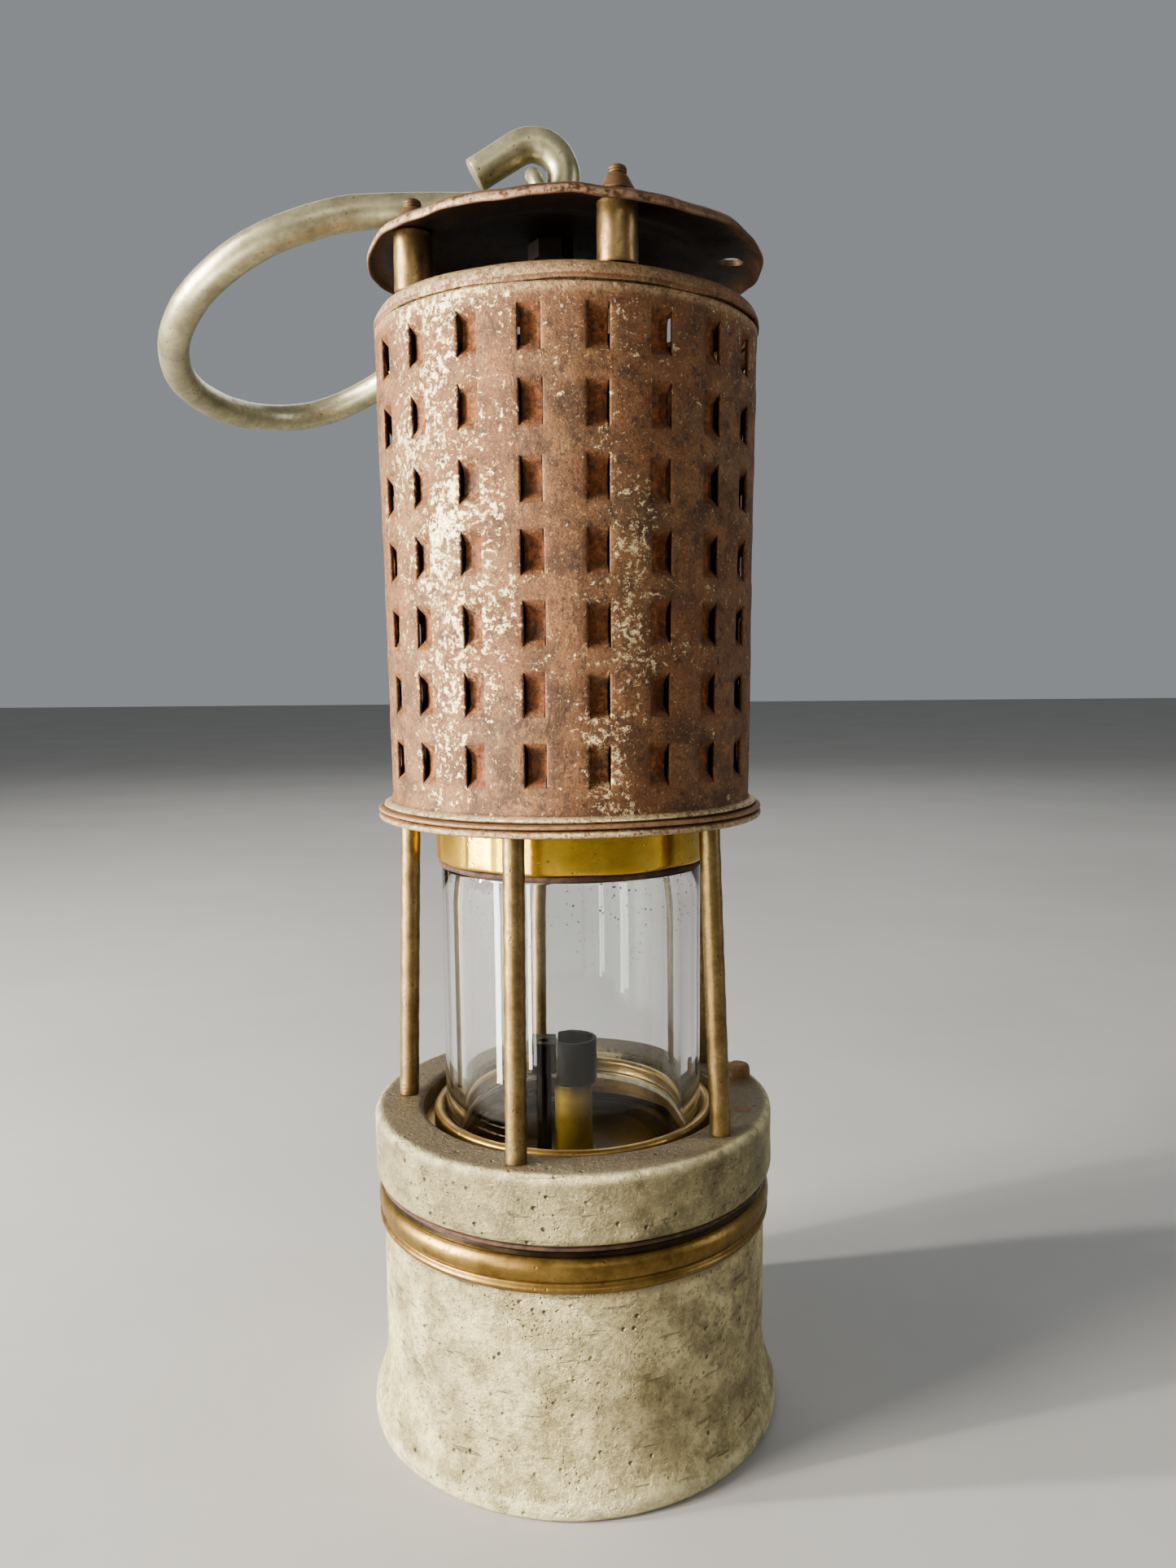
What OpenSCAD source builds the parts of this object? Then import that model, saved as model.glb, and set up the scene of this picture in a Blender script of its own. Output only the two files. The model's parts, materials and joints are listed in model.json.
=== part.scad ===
// Flame safety lamp for mines: fuel vessel and burner below, glass between
// brass pillars, double gauze inside a louvred bonnet, ventilated cap and hook.
// The axis of the lamp is Z and the rim of the foot stands on z = 0.

/* [Fuel vessel] */
// Radius of the plain wall of the fuel vessel
vessel_r = 41; // [40.5:0.1:41.3]
// Radius of the foot at its widest
foot_r = 44; // [43.5:0.1:45]
// Height of the upright band round the foot
foot_band_h = 3.8; // [3:0.1:5]
// Underside of the bead ring
band_z = 43.4; // [43:0.1:43.8]
// Radius of the bead ring at its crown
band_r = 42.1; // [41.8:0.1:42.4]

/* [Collar and glass] */
// Radius of the aluminium collar
collar_r = 42.5; // [42.3:0.1:43]
// Top face of the collar
collar_top = 66.6; // [66.4:0.1:66.8]
// Outside radius of the glass
glass_r = 27.4; // [27:0.1:27.5]
// Inside radius of the glass
glass_bore_r = 23.4; // [23:0.1:24]

/* [Pillars] */
// Diameter of a pillar
pillar_d = 4.1; // [3.6:0.1:4.4]
// Bearings of the pillars in degrees, measured from the front
pillar_angles = [-92, -17, 51, 123, 195];
// Radius at which each pillar leaves the collar
pillar_foot_r = [35.8, 37, 37.4, 36.8, 36.6];
// Radius at which each pillar meets the plate under the bonnet
pillar_head_r = [34.1, 36.1, 34.6, 34.6, 34.6];

/* [Bonnet] */
// Radius of the bonnet at its foot
bonnet_r0 = 37.27; // [37.1:0.01:37.4]
// Radius of the bonnet under the crown
bonnet_r1 = 38.54; // [38.3:0.01:38.6]
// Sheet thickness of the bonnet
sheet_t = 0.9; // [0.7:0.05:1]
// Number of columns of louvres
louvre_cols = 20; // [18:1:20]
// Number of rows of louvres
louvre_rows = 7; // [5:1:7]
// Height of the centre of the lowest row
louvre_z0 = 140.8; // [140:0.1:142]
// Distance between rows
louvre_pitch = 12.8; // [12:0.1:12.8]
// Width of a louvre
louvre_w = 4.2; // [3.6:0.1:4.4]
// Height of a louvre's opening
louvre_h = 7.6; // [6.8:0.1:8]

/* [Cap and hook] */
// Radius of the cap
cap_r = 39.7; // [39.4:0.1:40]
// Bearings of the spacers under the cap in degrees; a fifth place stands empty
spacer_angles = [-128, -59, 16, 160];
// Bearing of the place that has lost its spacer
empty_angle = 88; // [80:1:96]
// Diameter of a spacer
spacer_d = 7.5; // [7:0.1:7.6]
// Diameter of the hook's rod
hook_d = 6.7; // [6.2:0.1:6.7]

/* [Hidden] */
$fn = 64;
wick_screw_x = 10;
spindle_x = -6.3;
spindle_r = 0.9;
filler_y = 25;
lock_r = 38.6;
lock_angle = 103.6;
pin_r = 36.9;
pin_angle = 72.8;
swivel_x = -3;
lean = 17.65;
bar_x = -6.5;
bar_z = 257;
curl_r = 6.3;
eye_r = 5.6;
eye_d = 3;
plate_z = 128;

function bonnet_r(z) = bonnet_r0 + (bonnet_r1 - bonnet_r0) * (z - 131.6) / (225 - 131.6);

// A turned ring between two radii and two heights
module ring(ri, ro, z0, z1) {
  translate([0, 0, z0]) difference() {
    cylinder(r = ro, h = z1 - z0);
    translate([0, 0, -1]) cylinder(r = ri, h = z1 - z0 + 2);
  }
}
// A turned solid from half of its section
module turned(pts) { rotate_extrude() polygon(pts); }
// Put the children at a bearing and a radius; bearing 0 is the front, -Y
module at(a, r) { rotate([0, 0, a]) translate([0, -r, 0]) children(); }

// The children stand on the collar along pillar i, which leans inwards a little
module along_pillar(i) {
  at(pillar_angles[i], pillar_foot_r[i]) translate([0, 0, collar_top])
    rotate([-atan((pillar_foot_r[i] - pillar_head_r[i]) / (plate_z - collar_top)), 0, 0]) children();
}
function pillar_len(i) = norm([pillar_foot_r[i] - pillar_head_r[i], plate_z - collar_top]);

/* ---- fuel vessel and burner ---- */
module fuel_vessel() color([0.72, 0.70, 0.64]) difference() {
  turned([[0, 9], [38.2, 9], [40, 7.4], [40.6, 1.2], [40.6, 0], [43.2, 0], [foot_r - 0.1, 0.7], [foot_r, 1.4], [foot_r, foot_band_h - 0.5],
    [foot_r - 0.3, foot_band_h], [foot_r - 0.9, foot_band_h + 1.2], [42.4, 7], [41.7, 9.2], [41.2, 11.5], [vessel_r, 14],
    [vessel_r, 42.6], [vessel_r - 0.3, band_z - 0.05], [39.6, band_z - 0.05], [39.6, 50.3], [38.2, 50.3], [38.2, 13], [37, 11.2], [0, 11.2]]);
  translate([wick_screw_x, 0, 5]) cylinder(r = 1.57, h = 10);
  translate([spindle_x, 0, 5]) cylinder(r = spindle_r + 0.07, h = 10);
  translate([0, filler_y, 5]) cylinder(r = 5.1, h = 10);
}
module brass_band() color([0.55, 0.42, 0.2])
  turned([[39.65, band_z], [41.4, band_z], [band_r - 0.1, band_z + 0.7], [41.5, band_z + 1.5], [41.4, band_z + 1.9], [41.9, band_z + 2.5],
    [band_r, band_z + 3.9], [41.9, band_z + 5.4], [41.3, band_z + 6.3], [40.6, band_z + 6.9], [39.65, band_z + 6.9]]);
module vessel_cover() color([0.5, 0.38, 0.18]) difference() {
  turned([[0, 53.4], [32, 53.4], [32, 50.45], [36.6, 50.45], [36.6, 46.5], [38.1, 46.5], [38.1, 50.4], [41.0, 50.4], [41.3, 50.8], [41.2, 51.5], [41, 51.75],
    [35.95, 51.75], [35.95, 55.4], [35.6, 55.8], [34, 55.8], [33.4, 54.8], [31, 54.6], [29, 55.2], [26, 55.4], [22, 54.8], [0, 54.7]]);
  translate([0, 0, 50]) cylinder(r = 4.15, h = 10);
  translate([spindle_x, 0, 50]) cylinder(r = spindle_r + 0.07, h = 10);
}
module lock_ratchet() color([0.4, 0.38, 0.35]) difference() {
  ring(37.3, 39.95, 51.8, 52.2);
  for (i = [0 : 23]) rotate([0, 0, i * 15]) translate([38.6, 0, 52.2]) cube([5, 2.4, 0.4], center = true);
}
module cotton_packing() color([0.85, 0.82, 0.72]) turned([[18, 14], [37.2, 14], [37.8, 18], [37.8, 40], [36, 44], [20, 44.5], [18, 42]]);
module wick_tube() color([0.62, 0.5, 0.2]) difference() {
  turned([[0, 30], [4.1, 30], [4.1, 54.75], [5.2, 54.75], [5.3, 55], [5.3, 55.6], [5, 55.9], [4.3, 56], [4.1, 56.4], [4.1, 69.4], [3.8, 70.8], [3.3, 71.4], [0, 71.4]]);
  translate([0, 0, 29]) cylinder(r = 3.05, h = 50);
  // notch in the flange for the igniter's post
  translate([spindle_x, 0, 50]) cylinder(r = 1.75, h = 12);
}
module flame_guard() color([0.12, 0.11, 0.1]) difference() {
  union() {
    ring(4.35, 5.15, 70, 79.5);
    ring(4.15, 5.15, 70, 71);
  }
  // open towards the striker
  translate([-12, -9, 60]) cube([8.7, 18, 30]);
}
module igniter_case() color([0.2, 0.17, 0.12]) difference() {
  union() {
    translate([spindle_x, 0, 54.8]) cylinder(r = 1.6, h = 18);
    translate([-8.9, -2.8, 72.2]) cube([5.2, 7.4, 6.6]);
  }
  translate([spindle_x, 0, 50]) cylinder(r = spindle_r + 0.07, h = 40);
  translate([spindle_x, 0, 73.4]) cylinder(r = 2.3, h = 4.4);
  // the wheel is open towards the wick
  translate([-5.2, -1.7, 73.4]) cube([3, 3.4, 4.4]);
  translate([spindle_x, 0, 75.6]) rotate([-90, 0, 0]) cylinder(r = 0.8, h = 3.9);
}
module flint() color([0.35, 0.33, 0.32]) translate([spindle_x, 2.35, 75.6]) rotate([-90, 0, 0]) cylinder(r = 0.72, h = 0.95);
module flint_spring() color([0.6, 0.6, 0.6]) translate([spindle_x, 3.32, 75.6]) rotate([-90, 0, 0]) difference() { cylinder(r = 0.72, h = 0.55); translate([0, 0, -1]) cylinder(r = 0.42, h = 3); }
module gland_nuts() color([0.6, 0.47, 0.22]) for (x = [wick_screw_x, spindle_x]) translate([x, 0, 6.6]) difference() {
  cylinder(r = 3.9, h = 2.35, $fn = 6);
  translate([0, 0, -1]) cylinder(r = (x > 0 ? 1.57 : spindle_r + 0.07), h = 5);
}
module filler_gasket() color([0.3, 0.2, 0.12]) translate([0, filler_y, 0]) ring(5.2, 7, 8.3, 8.95);
module filler_plug() color([0.6, 0.47, 0.22]) translate([0, filler_y, 0]) difference() {
  turned([[0, 5.4], [6.6, 5.4], [7.2, 6], [7.2, 8.25], [5.05, 8.25], [5.05, 12.6], [4.6, 13], [0, 13]]);
  translate([-9, -0.9, 5]) cube([18, 1.8, 1.6]);
}

/* ---- wick and its adjuster ---- */
module wick() color([0.16, 0.14, 0.12]) turned([[0, 15], [2.9, 15], [3, 15.6], [3, 74.6], [2.4, 75.6], [1.4, 76.1], [0, 76.2]]);
module wick_carrier() color([0.6, 0.47, 0.22]) difference() {
  union() {
    translate([0, 0, 20]) cylinder(r = 4.7, h = 4);
    translate([3, -1.4, 20]) cube([5, 2.8, 4]);
    translate([wick_screw_x, 0, 20]) cylinder(r = 3.2, h = 5);
  }
  translate([wick_screw_x, 0, 10]) cylinder(r = 1.55, h = 30);
  translate([0, 0, 10]) cylinder(r = 3.04, h = 30);
}
module wick_screw() color([0.6, 0.47, 0.22]) translate([wick_screw_x, 0, 5]) { cylinder(r = 1.5, h = 37); }
module wick_knob() color([0.55, 0.42, 0.2]) translate([wick_screw_x, 0, 1]) difference() {
  union() { cylinder(r = 5.6, h = 3.6); translate([0, 0, 3.6]) cylinder(r = 3, h = 1.4); }
  for (i = [0 : 11]) rotate([0, 0, i * 30]) translate([6.1, 0, -1]) cylinder(r = 0.9, h = 8);
  translate([0, 0, 4]) cylinder(r = 1.52, h = 3);
}

/* ---- igniter ---- */
module igniter_spindle() color([0.3, 0.28, 0.26]) translate([spindle_x, 0, 4]) cylinder(r = spindle_r, h = 74.2);
module striker_wheel() color([0.3, 0.28, 0.26]) translate([spindle_x, 0, 73.8]) difference() {
  cylinder(r = 1.95, h = 3.8);
  translate([0, 0, -1]) cylinder(r = spindle_r + 0.02, h = 8);
  for (i = [0 : 11]) rotate([0, 0, i * 30]) translate([2.1, 0, -1]) cylinder(r = 0.35, h = 8, $fn = 4);
}
module igniter_knob() color([0.55, 0.42, 0.2]) translate([spindle_x, 0, 1]) difference() {
  union() { cylinder(r = 4.6, h = 3.2); translate([0, 0, 3.2]) cylinder(r = 2.6, h = 1.8); }
  translate([0, 0, 3]) cylinder(r = spindle_r + 0.02, h = 3);
  for (i = [0 : 7]) rotate([0, 0, i * 45]) translate([5.2, 0, -1]) cylinder(r = 1, h = 8);
}

/* ---- lower frame ---- */
module sealing_washer() color([0.3, 0.2, 0.13]) ring(40.25, 41.7, 51.8, 52.7);
module collar() color([0.74, 0.72, 0.66]) difference() {
  turned([[36, 52.8], [41.6, 52.8], [42.2, 53.2], [collar_r, 54], [collar_r, collar_top - 1], [collar_r - 0.4, collar_top - 0.25], [collar_r - 1.2, collar_top],
    [33, collar_top], [32.3, collar_top - 0.6], [32.3, 62.1], [36, 62.1]]);
  for (i = [0 : 4]) along_pillar(i) translate([0, 0, -3.6]) cylinder(r = 1.3, h = 10);
  at(lock_angle, lock_r) translate([0, 0, 50]) cylinder(r = 1.75, h = 14.2);
  at(lock_angle, lock_r) translate([0, 0, 64.1]) cylinder(r = 2.4, h = 6);
  at(pin_angle, pin_r) translate([0, 0, 63]) cylinder(r = 2.12, h = 6);
}
module glass_retainer() color([0.55, 0.42, 0.2]) difference() {
  ring(30, 35.9, 56.2, 59.9);
  for (i = [0 : 3]) rotate([0, 0, i * 90 + 20]) translate([31, 0, 56.2]) cube([4, 3, 2.4], center = true);
}
module glass_seat() color([0.6, 0.46, 0.2])
  turned([[23.6, 60], [35.7, 60], [35.7, 61.9], [30, 61.9], [30, 65], [29.7, 65.6], [29, 65.9], [28.3, 65.6], [27.8, 65], [27.8, 61.9], [23.6, 61.9]]);
module lower_gasket() color([0.75, 0.72, 0.66]) ring(23.7, 27.6, 62, 63);
module glass_cylinder() color([0.8, 0.88, 0.9, 0.3])
  turned([[glass_bore_r, 63.4], [glass_bore_r + 0.3, 63.1], [glass_r - 0.3, 63.1], [glass_r, 63.4], [glass_r, 117.6], [glass_r - 0.3, 117.9], [glass_bore_r + 0.3, 117.9], [glass_bore_r, 117.6]]);
module upper_gasket() color([0.25, 0.15, 0.1]) ring(23.5, 27.8, 118, 119.15);
module gauze_ring() color([0.85, 0.66, 0.25])
  turned([[25.8, 119.25], [28.3, 119.25], [28.5, 119.6], [28.5, 127.9], [20.6, 127.9], [20.6, 126.7], [25.8, 126.7]]);
module middle_plate() color([0.55, 0.5, 0.45]) difference() {
  turned([[22.5, plate_z], [39.2, plate_z], [39.8, plate_z + 0.35], [39.9, plate_z + 0.8], [39.8, plate_z + 1.25], [39.3, plate_z + 1.6], [22.5, plate_z + 1.6]]);
  for (i = [0 : 4]) along_pillar(i) translate([0, 0, pillar_len(i) - 5]) cylinder(r = 1.3, h = 10);
}
module pillars() color([0.5, 0.4, 0.2]) for (i = [0 : 4]) along_pillar(i) {
  translate([0, 0, 0.1]) cylinder(d = pillar_d, h = pillar_len(i) - 0.2);
  translate([0, 0, -3.5]) cylinder(r = 1.25, h = pillar_len(i) + 4.9);
}
module lock_plug() color([0.35, 0.2, 0.12]) at(lock_angle, lock_r) {
  translate([0, 0, 64.2]) cylinder(r = 2.35, h = 4.9);
  translate([0, 0, 69.1]) cylinder(r1 = 2.35, r2 = 1.9, h = 0.5);
}
module lock_spring() color([0.6, 0.6, 0.6]) at(lock_angle, lock_r) translate([0, 0, 58.6]) difference() { cylinder(r = 1.5, h = 5.5); translate([0, 0, -1]) cylinder(r = 1.05, h = 8); }
module lock_pin() color([0.4, 0.26, 0.16]) at(pin_angle, pin_r) translate([0, 0, 63.1]) cylinder(r = 2.1, h = 3.55);
module lock_plunger() color([0.45, 0.43, 0.42]) at(lock_angle, lock_r) {
  translate([0, 0, 53.6]) cylinder(r = 1.68, h = 4.9);
  translate([0, 0, 52.4]) cylinder(r = 1, h = 1.3);
}

/* ---- upper frame ---- */
module gauze_foot() color([0.6, 0.47, 0.22])
  turned([[16, 129.65], [25.5, 129.65], [25.5, 131], [19.85, 131], [19.85, 134.5], [18.95, 134.5], [18.95, 131], [16, 131]]);
module outer_gauze() color([0.25, 0.22, 0.2])
  turned([[20.05, 131.05], [20.6, 131.05], [19.1, 221.4], [18.6, 222], [0, 222], [0, 221.4], [18.5, 221.4]]);
module inner_gauze() color([0.25, 0.22, 0.2])
  turned([[18.3, 131.05], [18.85, 131.05], [17.3, 214.4], [16.8, 215], [0, 215], [0, 214.4], [16.7, 214.4]]);
module bonnet_ring() color([0.5, 0.3, 0.18])
  turned([[35.2, 129.65], [39.9, 129.65], [40.1, 129.95], [40, 130.35], [39.6, 130.6], [36.1, 130.6], [36.1, 135.5], [35.2, 135.5]]);
// One column of pressed louvre strips, as a wavy band in the plane of the axis
module louvre_band() {
  zc = [for (i = [0 : louvre_rows - 1]) louvre_z0 + i * louvre_pitch];
  hh = louvre_h / 2;
  t = 0.65;
  out = [for (z = zc) each [[-0.12, z - hh - 1.1], [-0.12, z - hh + 0.1], [-1.9, z - hh + 1.5], [-1.9, z + hh - 1.5], [-0.12, z + hh - 0.1], [-0.12, z + hh + 1.1]]];
  n = len(out);
  pts = concat([for (p = out) [bonnet_r(p[1]) + p[0], p[1]]], [for (i = [n - 1 : -1 : 0]) [bonnet_r(out[i][1]) + out[i][0] - t, out[i][1]]]);
  translate([0, (louvre_w - 0.2) / 2, 0]) rotate([90, 0, 0]) linear_extrude(height = louvre_w - 0.2) polygon(pts);
}
module bonnet_shell() color([0.6, 0.42, 0.32]) {
  difference() {
    turned([[bonnet_r(130.65) - sheet_t, 130.65], [38.6, 130.65], [38.9, 130.95], [38.7, 131.5], [bonnet_r(132.2), 132.2], [bonnet_r(224.9), 224.9], [37.75, 225.2], [37.75, 227.7],
      [37.75 - sheet_t, 227.7], [37.75 - sheet_t, 224.8], [bonnet_r(224) - sheet_t, 224], [bonnet_r(132) - sheet_t, 132]]);
    for (i = [0 : louvre_cols / 2 - 1], j = [0 : louvre_rows - 1])
      rotate([0, 0, (i + 0.5) * 360 / louvre_cols - 0.6]) translate([0, 0, louvre_z0 + j * louvre_pitch]) cube([90, louvre_w, louvre_h], center = true);
  }
  for (i = [0 : louvre_cols - 1]) rotate([0, 0, (i + 0.5) * 360 / louvre_cols - 0.6]) louvre_band();
}
module bonnet_crown() color([0.58, 0.42, 0.33]) difference() {
  turned([[27, 227.85], [37.85, 227.85], [37.85, 225.3], [38.6, 225.3], [38.8, 226.2], [38.7, 227.2], [38.1, 228.2], [37.2, 228.8], [36.2, 229], [27, 229]]);
  for (a = spacer_angles) at(a, 33.4) translate([0, 0, 220]) cylinder(r = 1.62, h = 20);
  at(empty_angle, 33.4) translate([0, 0, 220]) cylinder(r = 1.62, h = 20);
}
module cap_studs() color([0.55, 0.42, 0.24]) for (a = spacer_angles) at(a, 33.4) {
  translate([0, 0, 225.6]) cylinder(r = 2.9, h = 2.2, $fn = 6);
  translate([0, 0, 227.5]) cylinder(r = 1.5, h = 17.9);
  translate([0, 0, 245.4]) cylinder(r1 = 1.5, r2 = 0.9, h = 0.9);
}
module cap_spacers() color([0.62, 0.55, 0.42]) for (a = spacer_angles) at(a, 33.4) translate([0, 0, 229.05]) difference() {
  cylinder(d = spacer_d, h = 11.05);
  translate([0, 0, -1]) cylinder(r = 1.6, h = 14);
}
module cap() color([0.48, 0.33, 0.24]) difference() {
  turned([[0, 244.1], [12, 244.1], [16, 243.8], [22, 242.4], [28, 240.15], [37.4, 240.15], [38.5, 239.4], [39, 238.5], [39.5, 238.4], [cap_r, 238.8], [39.6, 239.5], [39, 240.4],
    [38, 241.1], [36.8, 241.35], [28.3, 241.35], [22.4, 243.6], [16.2, 245], [12, 245.3], [0, 245.3]]);
  for (a = spacer_angles) at(a, 33.4) translate([0, 0, 230]) cylinder(r = 1.62, h = 20);
  at(empty_angle, 33.4) translate([0, 0, 230]) cylinder(r = 2.4, h = 20);
  translate([swivel_x, 0, 235]) cylinder(r = 2.18, h = 20);
}
module cap_nuts() color([0.6, 0.48, 0.32]) for (a = spacer_angles) at(a, 33.4) difference() {
  translate([0, 0, 241.4]) { cylinder(r = 3.3, h = 0.6); translate([0, 0, 0.6]) cylinder(r1 = 3.3, r2 = 2.1, h = 2.3); }
  translate([0, 0, 240]) cylinder(r = 1.55, h = 10);
}

/* ---- swivel and hook ---- */
module swivel_eye() color([0.6, 0.56, 0.48]) {
  translate([swivel_x, 0, 240.2]) cylinder(r = 2.1, h = 5.6);
  translate([swivel_x, 0, 245.4]) cylinder(r = 7.1, h = 1);
  translate([swivel_x, 0, 246]) rotate([0, -lean, 0]) {
    for (s = [-1, 1]) translate([0, s * eye_r, 0]) cylinder(d = eye_d, h = 11.54 - eye_r);
    translate([0, 0, 11.54 - eye_r]) rotate([90, 0, 90]) rotate_extrude(angle = 180) translate([eye_r, 0]) circle(d = eye_d);
  }
}
module swivel_nut() color([0.4, 0.26, 0.18]) translate([swivel_x, 0, 240.5]) difference() {
  cylinder(r = 4.6, h = 3.5, $fn = 6);
  translate([0, 0, -1]) cylinder(r = 2.12, h = 6);
}
// Centre line of the hook: tail, curl round the swivel bar, shank, open loop
hook_route = [[-43, 0, 250.2], [-52, -1.5, 247.6], [-61, -1.5, 244.2], [-69.5, 1, 240.2], [-78, 7, 235.6], [-85, 17, 231], [-88.8, 29, 227.6],
  [-89.4, 39.5, 225.6], [-87.6, 50, 224.4], [-84.6, 59, 224], [-79.6, 68.5, 224.6], [-73.5, 75, 225.8], [-66, 79, 228], [-58, 79, 231], [-50, 76, 234.4], [-43.5, 71.5, 237.2]];
function cr(a, b, c, d, t) = 0.5 * (2 * b + (c - a) * t + (2 * a - 5 * b + 4 * c - d) * t * t + (3 * b - a - 3 * c + d) * t * t * t);
hook_pts = concat(
  [[-18.2, 0, 257.3], [-14, 0, 259.85]],
  [for (i = [0 : 9]) let (t = 121.2 - i * 211.2 / 9) [bar_x + curl_r * cos(t), 0, bar_z + curl_r * sin(t)]],
  [[-14, 0, 250.7], [-24, 0, 250.7], [-34, 0, 250.65]],
  [for (i = [0 : len(hook_route) - 2], k = [0 : 1]) let (n = len(hook_route) - 1, t = k / 2)
    cr(hook_route[max(i - 1, 0)], hook_route[i], hook_route[i + 1], hook_route[min(i + 2, n)], t)],
  [hook_route[len(hook_route) - 1]]);
function unit(v) = v / norm(v);
module tube_along(p, r, s) {
  n = len(p);
  tan = [for (i = [0 : n - 1]) unit(p[min(i + 1, n - 1)] - p[max(i - 1, 0)])];
  // a side vector that never runs along the route
  side = [for (i = [0 : n - 1]) unit(cross(tan[i], [0.12, 0.45, -0.88] - tan[i] * ([0.12, 0.45, -0.88] * tan[i])))];
  up = [for (i = [0 : n - 1]) cross(side[i], tan[i])];
  pts = [for (i = [0 : n - 1], k = [0 : s - 1]) p[i] + r * (cos(k * 360 / s) * side[i] + sin(k * 360 / s) * up[i])];
  polyhedron(points = pts, faces = concat(
    [[for (k = [0 : s - 1]) k]],
    [for (i = [0 : n - 2], k = [0 : s - 1]) [i * s + k, (i + 1) * s + k, (i + 1) * s + (k + 1) % s]],
    [for (i = [0 : n - 2], k = [0 : s - 1]) [i * s + k, (i + 1) * s + (k + 1) % s, i * s + (k + 1) % s]],
    [[for (k = [s - 1 : -1 : 0]) (n - 1) * s + k]]));
}
module hook() color([0.55, 0.55, 0.48]) tube_along(hook_pts, hook_d / 2, 14);

fuel_vessel();
brass_band();
vessel_cover();
lock_ratchet();
cotton_packing();
wick_tube();
flame_guard();
igniter_case();
flint();
flint_spring();
gland_nuts();
filler_gasket();
filler_plug();
wick();
wick_carrier();
wick_screw();
wick_knob();
igniter_spindle();
striker_wheel();
igniter_knob();
sealing_washer();
collar();
glass_retainer();
glass_seat();
lower_gasket();
glass_cylinder();
upper_gasket();
gauze_ring();
middle_plate();
pillars();
lock_plug();
lock_spring();
lock_pin();
gauze_foot();
outer_gauze();
inner_gauze();
bonnet_ring();
bonnet_shell();
bonnet_crown();
cap_studs();
cap_spacers();
cap();
cap_nuts();
lock_plunger();
swivel_eye();
swivel_nut();
hook();
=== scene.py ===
import bpy, json, math, random
import numpy as np
from mathutils import Vector, Matrix

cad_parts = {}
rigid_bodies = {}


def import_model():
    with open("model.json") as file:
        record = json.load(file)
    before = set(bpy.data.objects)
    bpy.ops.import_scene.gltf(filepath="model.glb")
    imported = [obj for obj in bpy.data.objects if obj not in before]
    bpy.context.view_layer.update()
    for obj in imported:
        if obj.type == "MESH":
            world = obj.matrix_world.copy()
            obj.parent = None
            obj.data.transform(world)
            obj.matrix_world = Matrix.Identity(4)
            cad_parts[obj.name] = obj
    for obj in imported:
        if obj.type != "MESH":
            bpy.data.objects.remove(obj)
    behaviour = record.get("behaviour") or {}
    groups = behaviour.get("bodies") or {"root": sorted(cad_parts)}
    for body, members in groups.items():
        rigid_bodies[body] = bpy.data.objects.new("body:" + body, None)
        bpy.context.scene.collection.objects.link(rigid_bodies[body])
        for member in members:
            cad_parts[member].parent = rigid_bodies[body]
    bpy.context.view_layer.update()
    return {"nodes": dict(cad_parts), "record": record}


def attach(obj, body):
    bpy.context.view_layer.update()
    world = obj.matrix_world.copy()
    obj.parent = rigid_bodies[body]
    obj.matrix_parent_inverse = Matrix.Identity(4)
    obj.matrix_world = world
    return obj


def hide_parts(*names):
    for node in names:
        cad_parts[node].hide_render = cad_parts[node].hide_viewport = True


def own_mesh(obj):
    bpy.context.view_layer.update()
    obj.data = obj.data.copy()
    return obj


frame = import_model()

MM = 0.001
rng = random.Random(7)
nrg = np.random.RandomState(11)
rad = math.radians


# ------------------------------------------------------------------ materials
def lin(r, g, b):
    f = lambda c: (c / 255 / 12.92) if c / 255 <= 0.04045 else ((c / 255 + 0.055) / 1.055) ** 2.4
    return (f(r), f(g), f(b), 1.0)


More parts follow.
